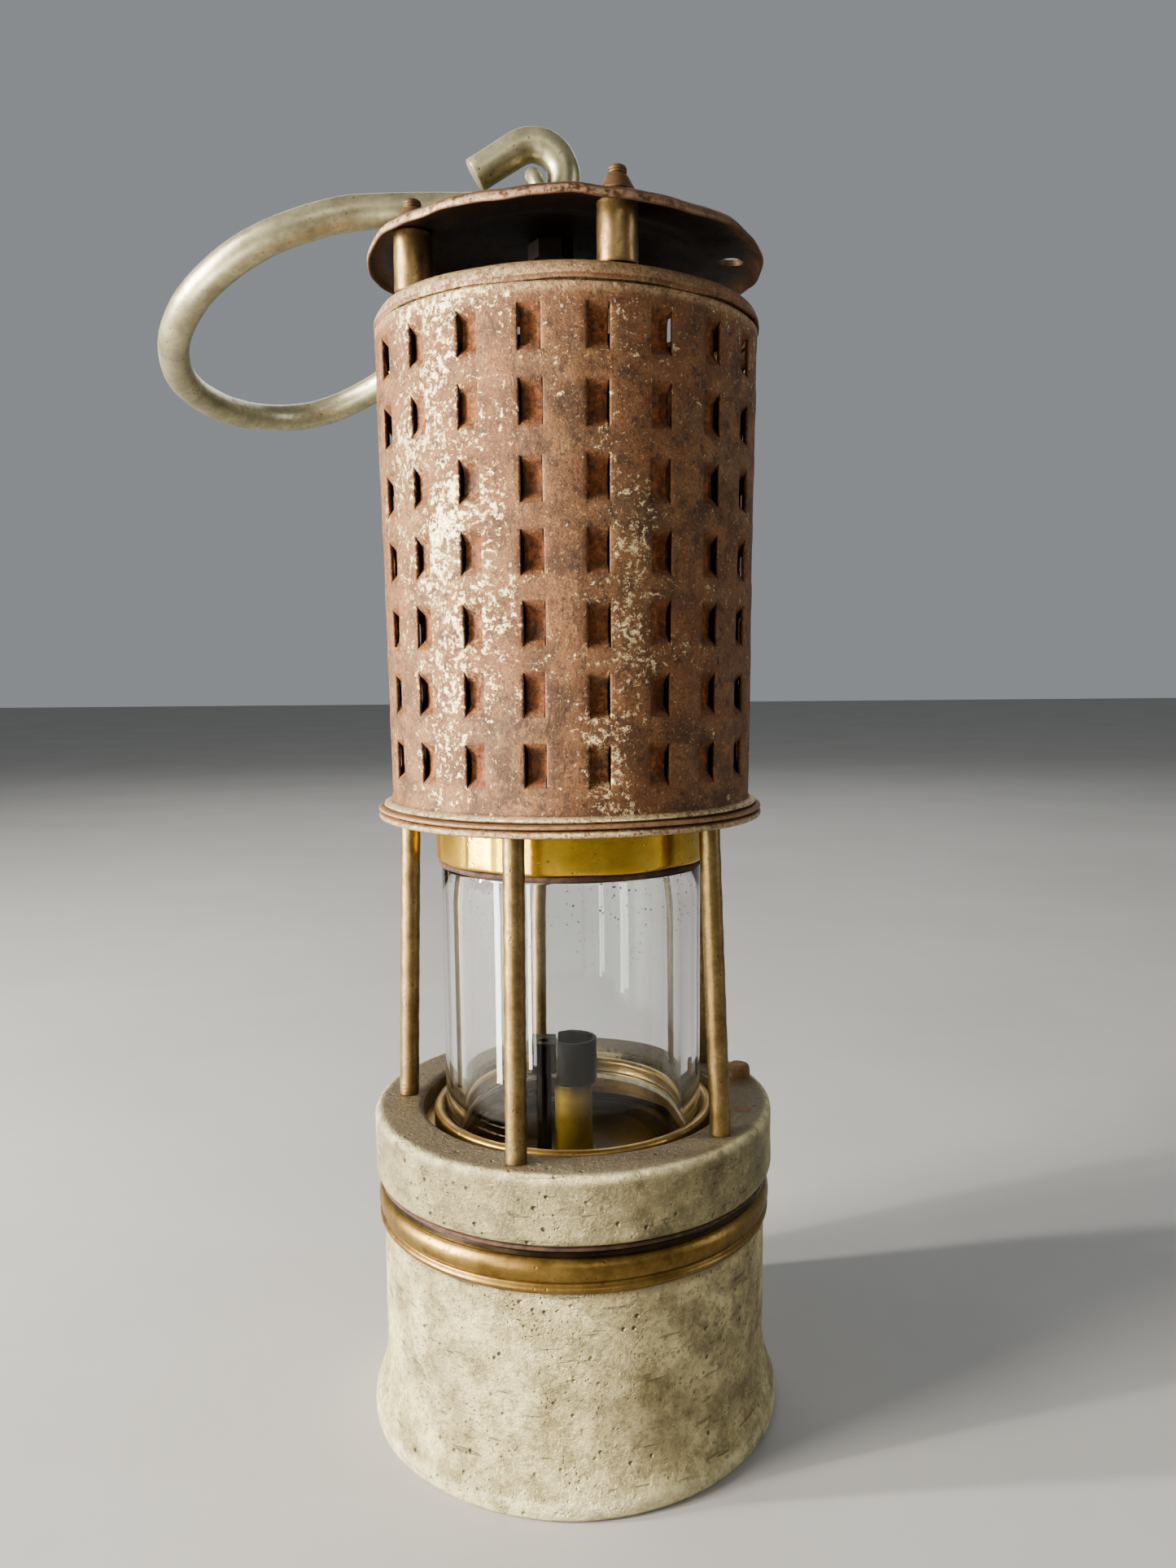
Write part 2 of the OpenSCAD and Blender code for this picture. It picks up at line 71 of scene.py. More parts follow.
class Mat:
    def __init__(s, name, rough=0.5, metal=0.0, **kw):
        s.m = bpy.data.materials.new(name)
        s.m.use_nodes = True
        s.t = s.m.node_tree
        s.b = s.t.nodes["Principled BSDF"]
        s.b.inputs["Roughness"].default_value = rough
        s.b.inputs["Metallic"].default_value = metal
        for k, v in kw.items():
            s.b.inputs[k.replace("_", " ")].default_value = v
        s.co = s.t.nodes.new("ShaderNodeTexCoord").outputs["Object"]

    def new(s, kind, **kw):
        n = s.t.nodes.new(kind)
        for k, v in kw.items():
            setattr(n, k, v)
        return n

    def put(s, sock, v):
        if hasattr(v, "is_output"):
            s.t.links.new(v, sock)
        else:
            sock.default_value = v

    def scaled(s, v):
        n = s.new("ShaderNodeMapping")
        s.t.links.new(s.co, n.inputs["Vector"])
        n.inputs["Scale"].default_value = v
        return n.outputs[0]

    def noise(s, scale, detail=4.0, rough=0.55, dist=0.0, vec=None):
        n = s.new("ShaderNodeTexNoise")
        s.t.links.new(vec or s.co, n.inputs["Vector"])
        n.inputs["Scale"].default_value = scale
        n.inputs["Detail"].default_value = detail
        n.inputs["Roughness"].default_value = rough
        n.inputs["Distortion"].default_value = dist
        return n.outputs["Fac"]

    def cells(s, scale, vec=None):
        n = s.new("ShaderNodeTexVoronoi")
        s.t.links.new(vec or s.co, n.inputs["Vector"])
        n.inputs["Scale"].default_value = scale
        return n.outputs["Distance"]

    def xyz(s):
        n = s.new("ShaderNodeSeparateXYZ")
        s.t.links.new(s.co, n.inputs[0])
        return n.outputs

    def attr(s, name):
        n = s.new("ShaderNodeAttribute")
        n.attribute_name = name
        return n.outputs["Fac"]

    def op(s, o, a, b=0.0, clamp=False):
        n = s.new("ShaderNodeMath", operation=o)
        n.use_clamp = clamp
        s.put(n.inputs[0], a)
        s.put(n.inputs[1], b)
        return n.outputs[0]

    def rng(s, v, a, b, c=0.0, d=1.0, smooth=False):
        n = s.new("ShaderNodeMapRange")
        if smooth:
            n.interpolation_type = "SMOOTHSTEP"
        s.put(n.inputs["Value"], v)
        for k, x in (("From Min", a), ("From Max", b), ("To Min", c), ("To Max", d)):
            n.inputs[k].default_value = x
        return n.outputs["Result"]

    def mix(s, f, a, b):
        n = s.new("ShaderNodeMix", data_type="RGBA")
        s.put(n.inputs[0], f)
        s.put(n.inputs[6], a)
        s.put(n.inputs[7], b)
        return n.outputs[2]

    def color(s, v):
        s.put(s.b.inputs["Base Color"], v)

    def bump(s, h, dist=0.0002, strength=0.6):
        n = s.new("ShaderNodeBump")
        n.inputs["Strength"].default_value = strength
        n.inputs["Distance"].default_value = dist
        s.put(n.inputs["Height"], h)
        s.t.links.new(n.outputs[0], s.b.inputs["Normal"])


def bump_at(s, x0, w):
    """1 at x = x0, falling to 0 at a distance w"""
    d = s.op("ABSOLUTE", s.op("SUBTRACT", s.xyz()["X"], x0))
    return s.rng(d, w, 0.0, 0.0, 1.0, smooth=True)


def m_bonnet(name="m_bonnet", flakes=1.0, dark=0.0, front=True):
    s = Mat(name)
    big = s.noise(34, 5, 0.6)
    mid = s.noise(150, 7, 0.68)
    fine = s.noise(980, 6, 0.75)
    speck = s.noise(2300, 4, 0.7)
    grit = s.noise(1500, 3, 0.8)
    c = s.mix(s.rng(mid, 0.40, 0.60), lin(80, 55, 34), lin(130, 93, 60))
    c = s.mix(s.rng(big, 0.42, 0.66, 0, 0.7), c, lin(122, 78, 46))
    c = s.mix(s.rng(s.noise(60, 7, 0.7, 0.5), 0.54, 0.72, 0, 0.6), c, lin(134, 110, 80))
    c = s.mix(s.rng(speck, 0.52, 0.62, 0, 0.7), c, lin(60, 40, 27))
    c = s.mix(s.rng(s.noise(420, 5, 0.7), 0.54, 0.62, 0, 0.75), c, lin(66, 44, 30))
    c = s.mix(s.rng(fine, 0.60, 0.68, 0, 0.6), c, lin(150, 86, 42))
    c = s.mix(s.rng(grit, 0.60, 0.66, 0, 0.6), c, lin(176, 150, 112))
    pocket = s.attr("pocket")
    inner = s.mix(s.rng(fine, 0.38, 0.62), lin(74, 42, 22), lin(150, 88, 44))
    inner = s.mix(s.rng(mid, 0.5, 0.62, 0, 0.7), inner, lin(70, 52, 40))
    c = s.mix(s.op("MULTIPLY", pocket, s.rng(mid, 0.3, 0.55, 0.6, 1.0)), c, inner)
    # tin flakes: real worn tinning, set thicker as painted highlight on the lit left side and along a painted
    # highlight streak right of the middle
    z = s.xyz()["Z"]
    bend = s.rng(s.noise(24, 3, 0.5), 0.3, 0.7, -0.006, 0.006)
    x = s.op("ADD", s.xyz()["X"], bend)

    def hump(x0, w):
        return s.rng(s.op("ABSOLUTE", s.op("SUBTRACT", x, x0)), w, 0.0, 0.0, 1.0, smooth=True)

    left = s.op("MULTIPLY", hump(-0.0225, 0.0185), s.rng(z, 0.135, 0.17, 0.55, 1.0))
    streak = s.op("MULTIPLY", hump(0.0105, 0.0085), s.rng(z, 0.215, 0.185, 0.0, 0.66))
    # painted highlight placement: raises the tin flakes on the lit left and in the streak
    where = s.op("MAXIMUM", left, streak)
    where = s.op("ADD", s.op("MULTIPLY", where, 0.080), s.rng(s.noise(70, 4, 0.6), 0.35, 0.65, -0.03, 0.03))
    grain = s.op("ADD", s.op("MULTIPLY", s.noise(760, 7, 0.78, 0.3), 0.60), s.op("ADD", s.op("MULTIPLY", fine, 0.20), s.op("MULTIPLY", speck, 0.20)))
    tin_and_highlight = s.rng(s.op("ADD", grain, where), 0.576, 0.592, 0.0, 1.0)
    tin_and_highlight = s.op("MULTIPLY", tin_and_highlight, s.op("SUBTRACT", 1.0, s.op("MULTIPLY", pocket, 0.9)))
    tin_and_highlight = s.op("MULTIPLY", tin_and_highlight, flakes, clamp=True)
    # rubbed edges, lightened; on the crown rim this mask leans to the left front, so there it is partly painted
    # highlight
    edge = s.attr("wear_and_highlight")
    tin_and_highlight = s.op("MAXIMUM", tin_and_highlight, s.op("MULTIPLY", edge, s.rng(s.op("ADD", s.op("MULTIPLY", fine, 0.6), s.op("MULTIPLY", speck, 0.4)), 0.42, 0.52), clamp=True))
    # bright tin colour: real tin flakes, and painted highlight where they gather on the lit left and in the streak
    c = s.mix(tin_and_highlight, c, s.mix(s.rng(speck, 0.4, 0.62), lin(238, 222, 178), lin(186, 162, 120)))
    # darker towards the crown's inner edge; only the crown carries this mask here
    inward_dark = s.attr("dirt_and_shade")
    c = s.mix(s.op("MULTIPLY", inward_dark, s.rng(mid, 0.3, 0.6, 0.8, 1.0)), c, lin(42, 28, 20))
    s.color(c)
    s.put(s.b.inputs["Roughness"], s.rng(tin_and_highlight, 0, 1, 0.58, 0.34))
    s.put(s.b.inputs["Metallic"], s.rng(tin_and_highlight, 0, 1, 0.35, 0.85))
    s.bump(s.op("ADD", s.op("MULTIPLY", s.op("ADD", mid, s.op("MULTIPLY", fine, 1.6)), 0.7), s.op("MULTIPLY", tin_and_highlight, 0.35)), 0.00036, 0.8)
    return s.m


def m_cast(name="m_cast", base=(132, 121, 85), top=(220, 207, 160)):
    s = Mat(name)
    big = s.noise(26, 5, 0.6)
    mid = s.noise(120, 6, 0.7)
    fine = s.noise(900, 6, 0.75)
    c = s.mix(s.rng(mid, 0.35, 0.68), lin(*base), lin(*top))
    c = s.mix(s.rng(big, 0.50, 0.70, 0, 0.45), c, lin(118, 108, 82))
    c = s.mix(s.rng(s.noise(700, 5, 0.75), 0.50, 0.62, 0, 0.6), c, lin(116, 106, 80))
    c = s.mix(s.rng(s.noise(1300, 4, 0.75), 0.55, 0.66, 0, 0.28), c, lin(226, 214, 172))
    c = s.mix(s.rng(s.noise(55, 8, 0.75, 0.6), 0.60, 0.74, 0, 0.6), c, lin(96, 90, 76))
    # painted shade: a patchy dark area on the right of the vessel body, the side away from the key light
    right_side_painted_shade = bump_at(s, 0.0285, 0.010)
    st = s.op("MULTIPLY", right_side_painted_shade, s.rng(s.noise(140, 6, 0.7), 0.44, 0.60))
    st = s.op("MULTIPLY", st, s.rng(s.op("ABSOLUTE", s.op("SUBTRACT", s.xyz()["Z"], 0.033)), 0.013, 0.002))
    c = s.mix(s.op("MULTIPLY", st, 0.6), c, lin(62, 60, 48))
    pits = s.rng(s.cells(330, s.scaled((1, 1, 1))), 0.05, 0.17, 1.0, 0.0)
    keep = s.rng(s.noise(90, 3, 0.5), 0.42, 0.54)
    pits = s.op("MULTIPLY", pits, keep)
    small = s.op("MULTIPLY", s.rng(s.cells(900), 0.08, 0.24, 1.0, 0.0), s.rng(s.noise(160, 3, 0.5), 0.46, 0.6))
    scr = s.rng(s.noise(300, 2, 0.5, 0.0, s.scaled((0.35, 0.35, 2.6))), 0.66, 0.70, 0.0, 0.7)
    c = s.mix(s.op("MULTIPLY", pits, 0.9), c, lin(70, 62, 48))
    c = s.mix(s.op("MULTIPLY", small, 0.75), c, lin(80, 72, 56))
    c = s.mix(s.op("MULTIPLY", s.rng(fine, 0.58, 0.70), 0.5), c, lin(110, 102, 84))
    c = s.mix(s.op("MULTIPLY", scr, 0.7), c, lin(92, 86, 70))
    c = s.mix(s.op("MULTIPLY", s.attr("wear_and_highlight"), s.rng(s.noise(420, 5, 0.7), 0.42, 0.58, 0.25, 0.8)), c, lin(222, 212, 172))
    c = s.mix(s.op("MULTIPLY", s.attr("dirt_and_shade"), s.rng(mid, 0.3, 0.6, 0.55, 1.0)), c, s.mix(s.rng(fine, 0.4, 0.6), lin(84, 72, 58), lin(122, 106, 88)))
    s.color(c)
    s.put(s.b.inputs["Roughness"], s.rng(mid, 0.3, 0.7, 0.36, 0.56))
    s.b.inputs["Metallic"].default_value = 0.65
    h = s.op("SUBTRACT", s.op("MULTIPLY", fine, 1.1), s.op("ADD", pits, s.op("MULTIPLY", small, 0.6)))
    h = s.op("SUBTRACT", h, s.op("MULTIPLY", scr, 0.6))
    s.bump(s.op("ADD", h, s.op("MULTIPLY", mid, 0.9)), 0.0006, 1.0)
    return s.m


def m_metal(name, a, b, dirt_and_shade, rough=0.4, metal=0.85, amount=0.5, scale=1.0, pits=0.5, streak=False, wear_and_highlight_lift=34):
    s = Mat(name)
    mid = s.noise(150 * scale, 6, 0.68)
    fine = s.noise(900 * scale, 5, 0.7)
    v = s.scaled((1, 1, 0.12)) if streak else s.co
    lines = s.noise(500 * scale, 4, 0.6, 0.2, v)
    c = s.mix(s.rng(mid, 0.34, 0.66), lin(*a), lin(*b))
    c = s.mix(s.rng(lines, 0.52, 0.72, 0, 0.4), c, lin(*b))
    d = s.rng(s.op("ADD", s.op("MULTIPLY", mid, 0.4), s.op("MULTIPLY", fine, 0.6)), 0.62 - 0.14 * amount, 0.70, 0.0, 0.9)
    c = s.mix(d, c, lin(*dirt_and_shade))
    p = s.op("MULTIPLY", s.rng(s.cells(620 * scale), 0.05, 0.2, 1.0, 0.0), s.rng(s.noise(120, 2), 0.44, 0.6))
    c = s.mix(s.op("MULTIPLY", p, pits), c, lin(*dirt_and_shade))
    # wear lightens the colour; on the cap rim this mask also carries painted highlight on the lit left front
    c = s.mix(s.op("MULTIPLY", s.attr("wear_and_highlight"), s.rng(s.op("ADD", s.op("MULTIPLY", fine, 0.7), s.op("MULTIPLY", mid, 0.3)), 0.43, 0.53), clamp=True), c, lin(*[min(255, x + wear_and_highlight_lift) for x in b]))
    # dirt darkens the colour, and on the cap's underside the same mask is painted shade
    c = s.mix(s.op("MULTIPLY", s.attr("dirt_and_shade"), s.rng(mid, 0.3, 0.6, 0.8, 1.0), clamp=True), c, lin(*[x * 0.55 for x in dirt_and_shade]))
    s.color(c)
    s.put(s.b.inputs["Roughness"], s.rng(d, 0, 1, rough, min(1.0, rough + 0.25)))
    s.put(s.b.inputs["Metallic"], s.rng(d, 0, 1, metal, metal * 0.5))
    s.bump(s.op("SUBTRACT", s.op("ADD", mid, s.op("MULTIPLY", fine, 0.5)), p), 0.00016, 0.4)
    return s.m


def m_plain(name, a, b, rough=0.7, metal=0.0, scale=400, spec=0.5):
    s = Mat(name, rough, metal)
    s.b.inputs["Specular IOR Level"].default_value = spec
    n = s.noise(scale, 5, 0.65)
    s.color(s.mix(s.rng(n, 0.35, 0.65), lin(*a), lin(*b)))
    s.bump(n, 0.0002, 0.5)
    return s.m


def m_glass():
    s = Mat("m_glass", 0.02, 0.0)
    s.b.inputs["Transmission Weight"].default_value = 1.0
    s.b.inputs["IOR"].default_value = 1.47
    z = s.xyz()["Z"]
    spots = s.op("MULTIPLY", s.rng(s.cells(700), 0.12, 0.20, 1.0, 0.0), s.rng(s.noise(85, 4, 0.6), 0.48, 0.54))
    spots = s.op("MULTIPLY", spots, s.rng(z, 0.096, 0.112))
    smear = s.rng(s.noise(70, 5, 0.6, 0.3, s.scaled((1, 1, 0.14))), 0.5, 0.8, 0.0, 0.10)
    c = s.mix(smear, (0.97, 0.985, 0.98, 1), (0.86, 0.88, 0.87, 1))
    c = s.mix(spots, c, (0.05, 0.035, 0.03, 1))
    s.color(c)
    s.put(s.b.inputs["Roughness"], s.op("ADD", s.rng(smear, 0, 0.1, 0.012, 0.045), s.op("MULTIPLY", spots, 0.5)))
    return s.m


def m_gauze():
    s = Mat("m_gauze", 0.55, 0.7)
    x = s.xyz()
    a = s.op("ARCTAN2", x["Y"], x["X"])
    wa = s.op("SINE", s.op("MULTIPLY", a, 150.0))
    wz = s.op("SINE", s.op("MULTIPLY", x["Z"], 7000.0))
    w = s.op("MAXIMUM", wa, wz)
    n = s.noise(130, 5, 0.65)
    c = s.mix(s.rng(w, -0.2, 0.7), lin(14, 11, 9), s.mix(s.rng(n, 0.4, 0.62), lin(72, 62, 54), lin(92, 56, 38)))
    s.color(c)
    s.bump(w, 0.0003, 0.7)
    return s.m


M = {
    "bonnet": m_bonnet(),
    "crown": m_bonnet("m_crown", 0.5),
    "cap": m_metal("m_cap", (74, 50, 32), (108, 78, 50), (40, 27, 18), 0.55, 0.4, 0.8, 0.9, 0.7, False, 62),
    "cast": m_cast(),
    "cast_top": m_cast("m_cast_top", (108, 99, 72), (178, 166, 126)),
    "bead": m_metal("m_bead", (98, 76, 40), (142, 116, 66), (52, 40, 25), 0.36, 0.85, 0.6),
    "ring": m_metal("m_ring", (178, 144, 54), (206, 172, 82), (112, 78, 32), 0.25, 0.92, 0.25, 0.8, 0.6),
    "pillar": m_metal("m_pillar", (104, 85, 54), (146, 125, 84), (56, 45, 30), 0.38, 0.85, 0.8, 1.3, 0.9),
    "spacer": m_metal("m_spacer", (98, 78, 50), (146, 124, 84), (70, 48, 32), 0.38, 0.8, 0.85, 1.0, 0.8, True),
    "brass": m_metal("m_brass", (128, 98, 50), (166, 132, 72), (70, 50, 30), 0.38, 0.85, 0.45),
    "seat": m_metal("m_seat", (134, 106, 60), (176, 146, 92), (66, 50, 32), 0.34, 0.85, 0.3),
    "dish": m_metal("m_dish", (34, 27, 18), (58, 45, 28), (16, 13, 10), 0.28, 0.8, 0.6),
    "tube": m_metal("m_tube", (196, 160, 54), (222, 190, 84), (110, 84, 34), 0.32, 0.85, 0.2),
    "plate": m_bonnet("m_plate", 0.8),
    "rust": m_metal("m_rust", (94, 66, 42), (132, 98, 64), (58, 36, 24), 0.68, 0.25, 0.7, 1.3, 0.6, False, 60),
    # painted shade: the swivel nut under the cap is coloured near black
    "under": m_metal("m_under", (34, 24, 18), (54, 38, 27), (24, 17, 13), 0.7, 0.2, 0.6),
    "nut": m_metal("m_nut", (78, 58, 38), (110, 86, 56), (58, 38, 26), 0.55, 0.55, 0.9, 1.2, 0.8),
    "hook": m_metal("m_hook", (136, 130, 104), (184, 176, 144), (88, 80, 60), 0.38, 0.75, 0.7, 0.9, 0.95, False),
    "steel": m_metal("m_steel", (116, 110, 102), (146, 140, 130), (74, 64, 54), 0.4, 0.85, 0.4),
    "soot": m_plain("m_soot", (6, 6, 6), (16, 15, 14), 0.32, 0.0, 260, 0.10),
    "wick": m_plain("m_wick", (26, 23, 20), (70, 62, 50), 0.9, 0.0, 700),
    "cotton": m_plain("m_cotton", (176, 168, 146), (206, 198, 178), 0.95, 0.0, 300),
    "fibre": m_plain("m_fibre", (48, 32, 24), (84, 58, 42), 0.85, 0.0, 500),
    "pale_fibre": m_plain("m_pale_fibre", (140, 130, 112), (176, 166, 146), 0.85, 0.0, 500),
    "glass": m_glass(),
    "gauze": m_gauze(),
}

NODE_MAT = {
    "vessel_cover": "dish", "lock_ratchet": "steel", "cotton_packing": "cotton", "wick_tube": "tube", "flame_guard": "soot",
    "igniter_case": "soot", "flint": "steel", "flint_spring": "steel", "gland_nuts": "brass", "filler_gasket": "fibre", "filler_plug": "brass",
    "wick": "wick", "wick_carrier": "brass", "wick_screw": "brass", "wick_knob": "brass", "igniter_spindle": "steel", "striker_wheel": "steel",
    "igniter_knob": "brass", "sealing_washer": "fibre", "glass_retainer": "brass", "lower_gasket": "pale_fibre",
    "upper_gasket": "fibre", "lock_spring": "steel", "gauze_foot": "brass", "outer_gauze": "gauze", "inner_gauze": "gauze",
    "lock_plunger": "steel", "swivel_nut": "under", "collar": "cast", "fuel_vessel": "cast", "brass_band": "bead", "glass_seat": "seat",
    "glass_cylinder": "glass", "gauze_ring": "ring", "middle_plate": "plate", "pillars": "pillar", "lock_plug": "rust", "lock_pin": "rust",
    "bonnet_ring": "rust", "bonnet_shell": "bonnet", "bonnet_crown": "crown", "cap_studs": "nut", "cap_spacers": "spacer", "cap": "cap",
    "cap_nuts": "nut", "swivel_eye": "hook", "hook": "hook",
}
for name, ob in frame["nodes"].items():
    ob.data.materials.clear()
    ob.data.materials.append(M[NODE_MAT[name]])
BODY = {n: b for b, ns in frame["record"]["behaviour"]["bodies"].items() for n in ns}


# ------------------------------------------------------------------ mesh tools
def make(name, verts, faces, mat, node, sharp=38, attrs=None, rep=True, also=()):
    me = bpy.data.meshes.new(name)
    me.from_pydata([tuple(v) for v in verts], [], faces)
    me.update()
    for k, vals in (attrs or {}).items():
        a = me.attributes.new(k, "FLOAT", "POINT")
        a.data.foreach_set("value", np.asarray(vals, dtype=np.float32))
    me.materials.append(M[mat])
    me.shade_smooth()
    me.set_sharp_from_angle(angle=rad(sharp))
    ob = bpy.data.objects.new(name, me)
    bpy.context.scene.collection.objects.link(ob)
    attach(ob, BODY[node])
    if rep:
        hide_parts(node, *also)
    return ob


def soften(prof, k=4):
    """Rounds each corner of a closed section by its third number"""
    out = []
    n = len(prof)
    for i, p in enumerate(prof):
        r = p[2] if len(p) > 2 else 0.0
        P = np.array(p[:2], float)
        if r <= 0:
            out.append(tuple(P))
            continue
        A = np.array(prof[i - 1][:2], float) - P
        B = np.array(prof[(i + 1) % n][:2], float) - P
        la, lb = np.linalg.norm(A), np.linalg.norm(B)
        d = min(r, la * 0.48, lb * 0.48)
        a, b = P + A / la * d, P + B / lb * d
        for j in range(k + 1):
            t = j / k
            out.append(tuple((1 - t) ** 2 * a + 2 * t * (1 - t) * P + t * t * b))
    return out


def split(prof, step):
    """Adds points along the long sides of a closed section"""
    out = []
    n = len(prof)
    for i in range(n):
        a, b = np.array(prof[i]), np.array(prof[(i + 1) % n])
        m = max(1, int(math.ceil(np.linalg.norm(b - a) / step)))
        if a[0] < 1e-6 and b[0] < 1e-6:
            m = 1
        for j in range(m):
            out.append(tuple(a + (b - a) * j / m))
    return out


def wave(seed, amps):
    """A periodic function of the bearing, built from a few harmonics"""
    r = np.random.RandomState(seed)
    ph = r.rand(len(amps)) * 6.283
    return lambda t: sum(a * np.sin((k + 1) * t + p) for k, (a, p) in enumerate(zip(amps, ph)))


def lathe(name, node, prof, mat, n=160, move=None, wear_and_highlight=None, dirt_and_shade=None, at=(0, 0), step=None, sharp=38, rep=True, open_=False):
    """Turns a section, in mm, about Z. move(r, z, t) gives new r and z; bearing t is 0 at the front, -Y."""
    if step:
        prof = split(prof, step)
    prof = np.array(prof, float)
    m = len(prof)
    t = np.arange(n) * 2 * math.pi / n
    R = np.repeat(prof[:, :1], n, 1)
    Z = np.repeat(prof[:, 1:2], n, 1)
    T = np.repeat(t[None, :], m, 0)
    R0, Z0 = R.copy(), Z.copy()
    dx = np.zeros_like(R)
    if move:
        res = move(R, Z, T)
        R, Z = res[0], res[1]
        if len(res) > 2:
            dx = res[2]
    X = R * np.sin(T) + at[0] + dx
    Y = -R * np.cos(T) + at[1]
    idx = np.zeros((m, n), int)
    verts, att_r, att_z, att_t = [], [], [], []
    for i in range(m):
        if prof[i, 0] < 1e-6:
            idx[i, :] = len(verts)
            verts.append((at[0] * MM, at[1] * MM, Z[i].mean() * MM))
            att_r.append(0.0); att_z.append(prof[i, 1]); att_t.append(0.0)
        else:
            idx[i, :] = np.arange(len(verts), len(verts) + n)
            for j in range(n):
                verts.append((X[i, j] * MM, Y[i, j] * MM, Z[i, j] * MM))
                att_r.append(R0[i, j]); att_z.append(Z0[i, j]); att_t.append(T[i, j])
    faces = []
    last = m - 1 if open_ else m
    for i in range(last):
        i2 = (i + 1) % m
        if prof[i, 0] < 1e-6 and prof[i2, 0] < 1e-6:
            continue
        for j in range(n):
            j2 = (j + 1) % n
            q = [idx[i, j], idx[i, j2], idx[i2, j2], idx[i2, j]]
            u = []
            for v in q:
                if int(v) not in u:
                    u.append(int(v))
            faces.append(u)
    r_, z_, t_ = np.array(att_r), np.array(att_z), np.array(att_t)
    attrs = {"wear_and_highlight": wear_and_highlight(r_, z_, t_) if wear_and_highlight else np.zeros(len(r_)), "dirt_and_shade": dirt_and_shade(r_, z_, t_) if dirt_and_shade else np.zeros(len(r_)), "pocket": np.zeros(len(r_))}
    return make(name, verts, faces, mat, node, sharp, attrs, rep)


def tube(name, node, path, r, mat, sides=24, rep=True, seed=3, chamfer=0.5, rough=0.03):
    """A round rod along a path in mm"""
    P = np.array(path, float)
    n = len(P)
    T = np.zeros_like(P)
    T[1:-1] = P[2:] - P[:-2]
    T[0], T[-1] = P[1] - P[0], P[-1] - P[-2]
    T /= np.linalg.norm(T, axis=1)[:, None]
    u = np.cross(T[0], [0.13, 0.91, 0.39])
    u /= np.linalg.norm(u)
    U = []
    for i in range(n):
        u = u - T[i] * np.dot(u, T[i])
        u /= np.linalg.norm(u)
        U.append(u.copy())
    U = np.array(U)
    V = np.cross(T, U)
    rs = np.full(n, r)
    w = wave(seed, [rough, rough, rough * 0.6, rough * 0.5])
    s = np.linspace(0, 1, n)
    rs = rs * (1 + w(s * 40) * 0.12)
    # ends: cut square, with a small worn edge
    ends_a = [(P[0] + T[0] * 0.0, 0.0), (P[0], r - chamfer), (P[0] + T[0] * chamfer * 0.35, r - chamfer * 0.3), (P[0] + T[0] * chamfer, rs[0])]
    ends_b = [(P[-1] - T[-1] * chamfer, rs[-1]), (P[-1] - T[-1] * chamfer * 0.35, r - chamfer * 0.3), (P[-1], r - chamfer)]
    rings = [(c, q, 0) for c, q in ends_a[1:]] + [(P[i], rs[i], i) for i in range(1, n - 1)] + [(c, q, n - 1) for c, q in ends_b]
    verts, faces = [], []
    for c, q, i in rings:
        for k in range(sides):
            a = 2 * math.pi * k / sides
            verts.append(tuple((c + q * (math.cos(a) * U[i] + math.sin(a) * V[i])) * MM))
    for i in range(len(rings) - 1):
        for k in range(sides):
            k2 = (k + 1) % sides
            faces.append([i * sides + k, i * sides + k2, (i + 1) * sides + k2, (i + 1) * sides + k])
    faces.append([k for k in range(sides)][::-1])
    faces.append([(len(rings) - 1) * sides + k for k in range(sides)])
    z = np.zeros(len(verts))
    return make(name, verts, faces, mat, node, 40, {"wear_and_highlight": z, "dirt_and_shade": z, "pocket": z}, rep)


def smooth(a, b, x):
    t = np.clip((x - a) / (b - a), 0, 1)
    return t * t * (3 - 2 * t)


def spline(pts, per=6):
    """Catmull-Rom through the points"""
    P = [np.array(p, float) for p in pts]
    out = []
    n = len(P) - 1
    for i in range(n):
        a, b, c, d = P[max(i - 1, 0)], P[i], P[i + 1], P[min(i + 2, n)]
        for k in range(per):
            t = k / per
            out.append(0.5 * (2 * b + (c - a) * t + (2 * a - 5 * b + 4 * c - d) * t * t + (3 * b - a - 3 * c + d) * t ** 3))
    out.append(P[-1])
    return out


SEG = 240


# ------------------------------------------------------------------ lower half
w1 = wave(21, [0.05, 0.04, 0.05, 0.03, 0.03, 0.02])
w2 = wave(22, [0.10, 0.08, 0.06, 0.06, 0.05, 0.05, 0.04, 0.04])


def cast_move(R, Z, T):
    k = np.where(R > 36, 1.0, 0.0)
    d = 0.045 * np.sin(7 * T + Z * 0.31) * np.cos(5 * T - Z * 0.23 + 1) + 0.03 * np.sin(23 * T + Z * 0.9) * np.sin(Z * 0.7 + 11 * T)
    foot = smooth(5.5, 3.0, Z) * k
    return R + k * d + foot * w2(T) * 0.6, Z + 0.0


vessel = soften([(0, 9), (38.2, 9, 0.6), (40, 7.4, 0.6), (40.6, 1.2, 0.5), (40.8, 0.05, 0.5), (43.0, 0.0, 0.5), (43.8, 0.7, 0.7), (44.0, 3.0, 1.0),
                 (43.4, 4.6, 0.8), (42.6, 6.6, 1.2), (41.75, 9.2, 1.6), (41.15, 12.4, 1.6), (41.0, 16), (41.0, 42.2, 0.8), (40.7, 43.35, 0.3),
                 (39.6, 43.35), (39.6, 50.3), (38.2, 50.3), (38.2, 12.2, 1.5), (36.5, 11.2, 1), (0, 11.2)])
lathe("vessel_body", "fuel_vessel", vessel, "cast", SEG, cast_move, step=1.6,
      wear_and_highlight=lambda r, z, t: smooth(5.0, 3.2, z) * smooth(42.0, 43.2, r), dirt_and_shade=lambda r, z, t: 0.7 * smooth(41.5, 43.3, z) * (r > 40))

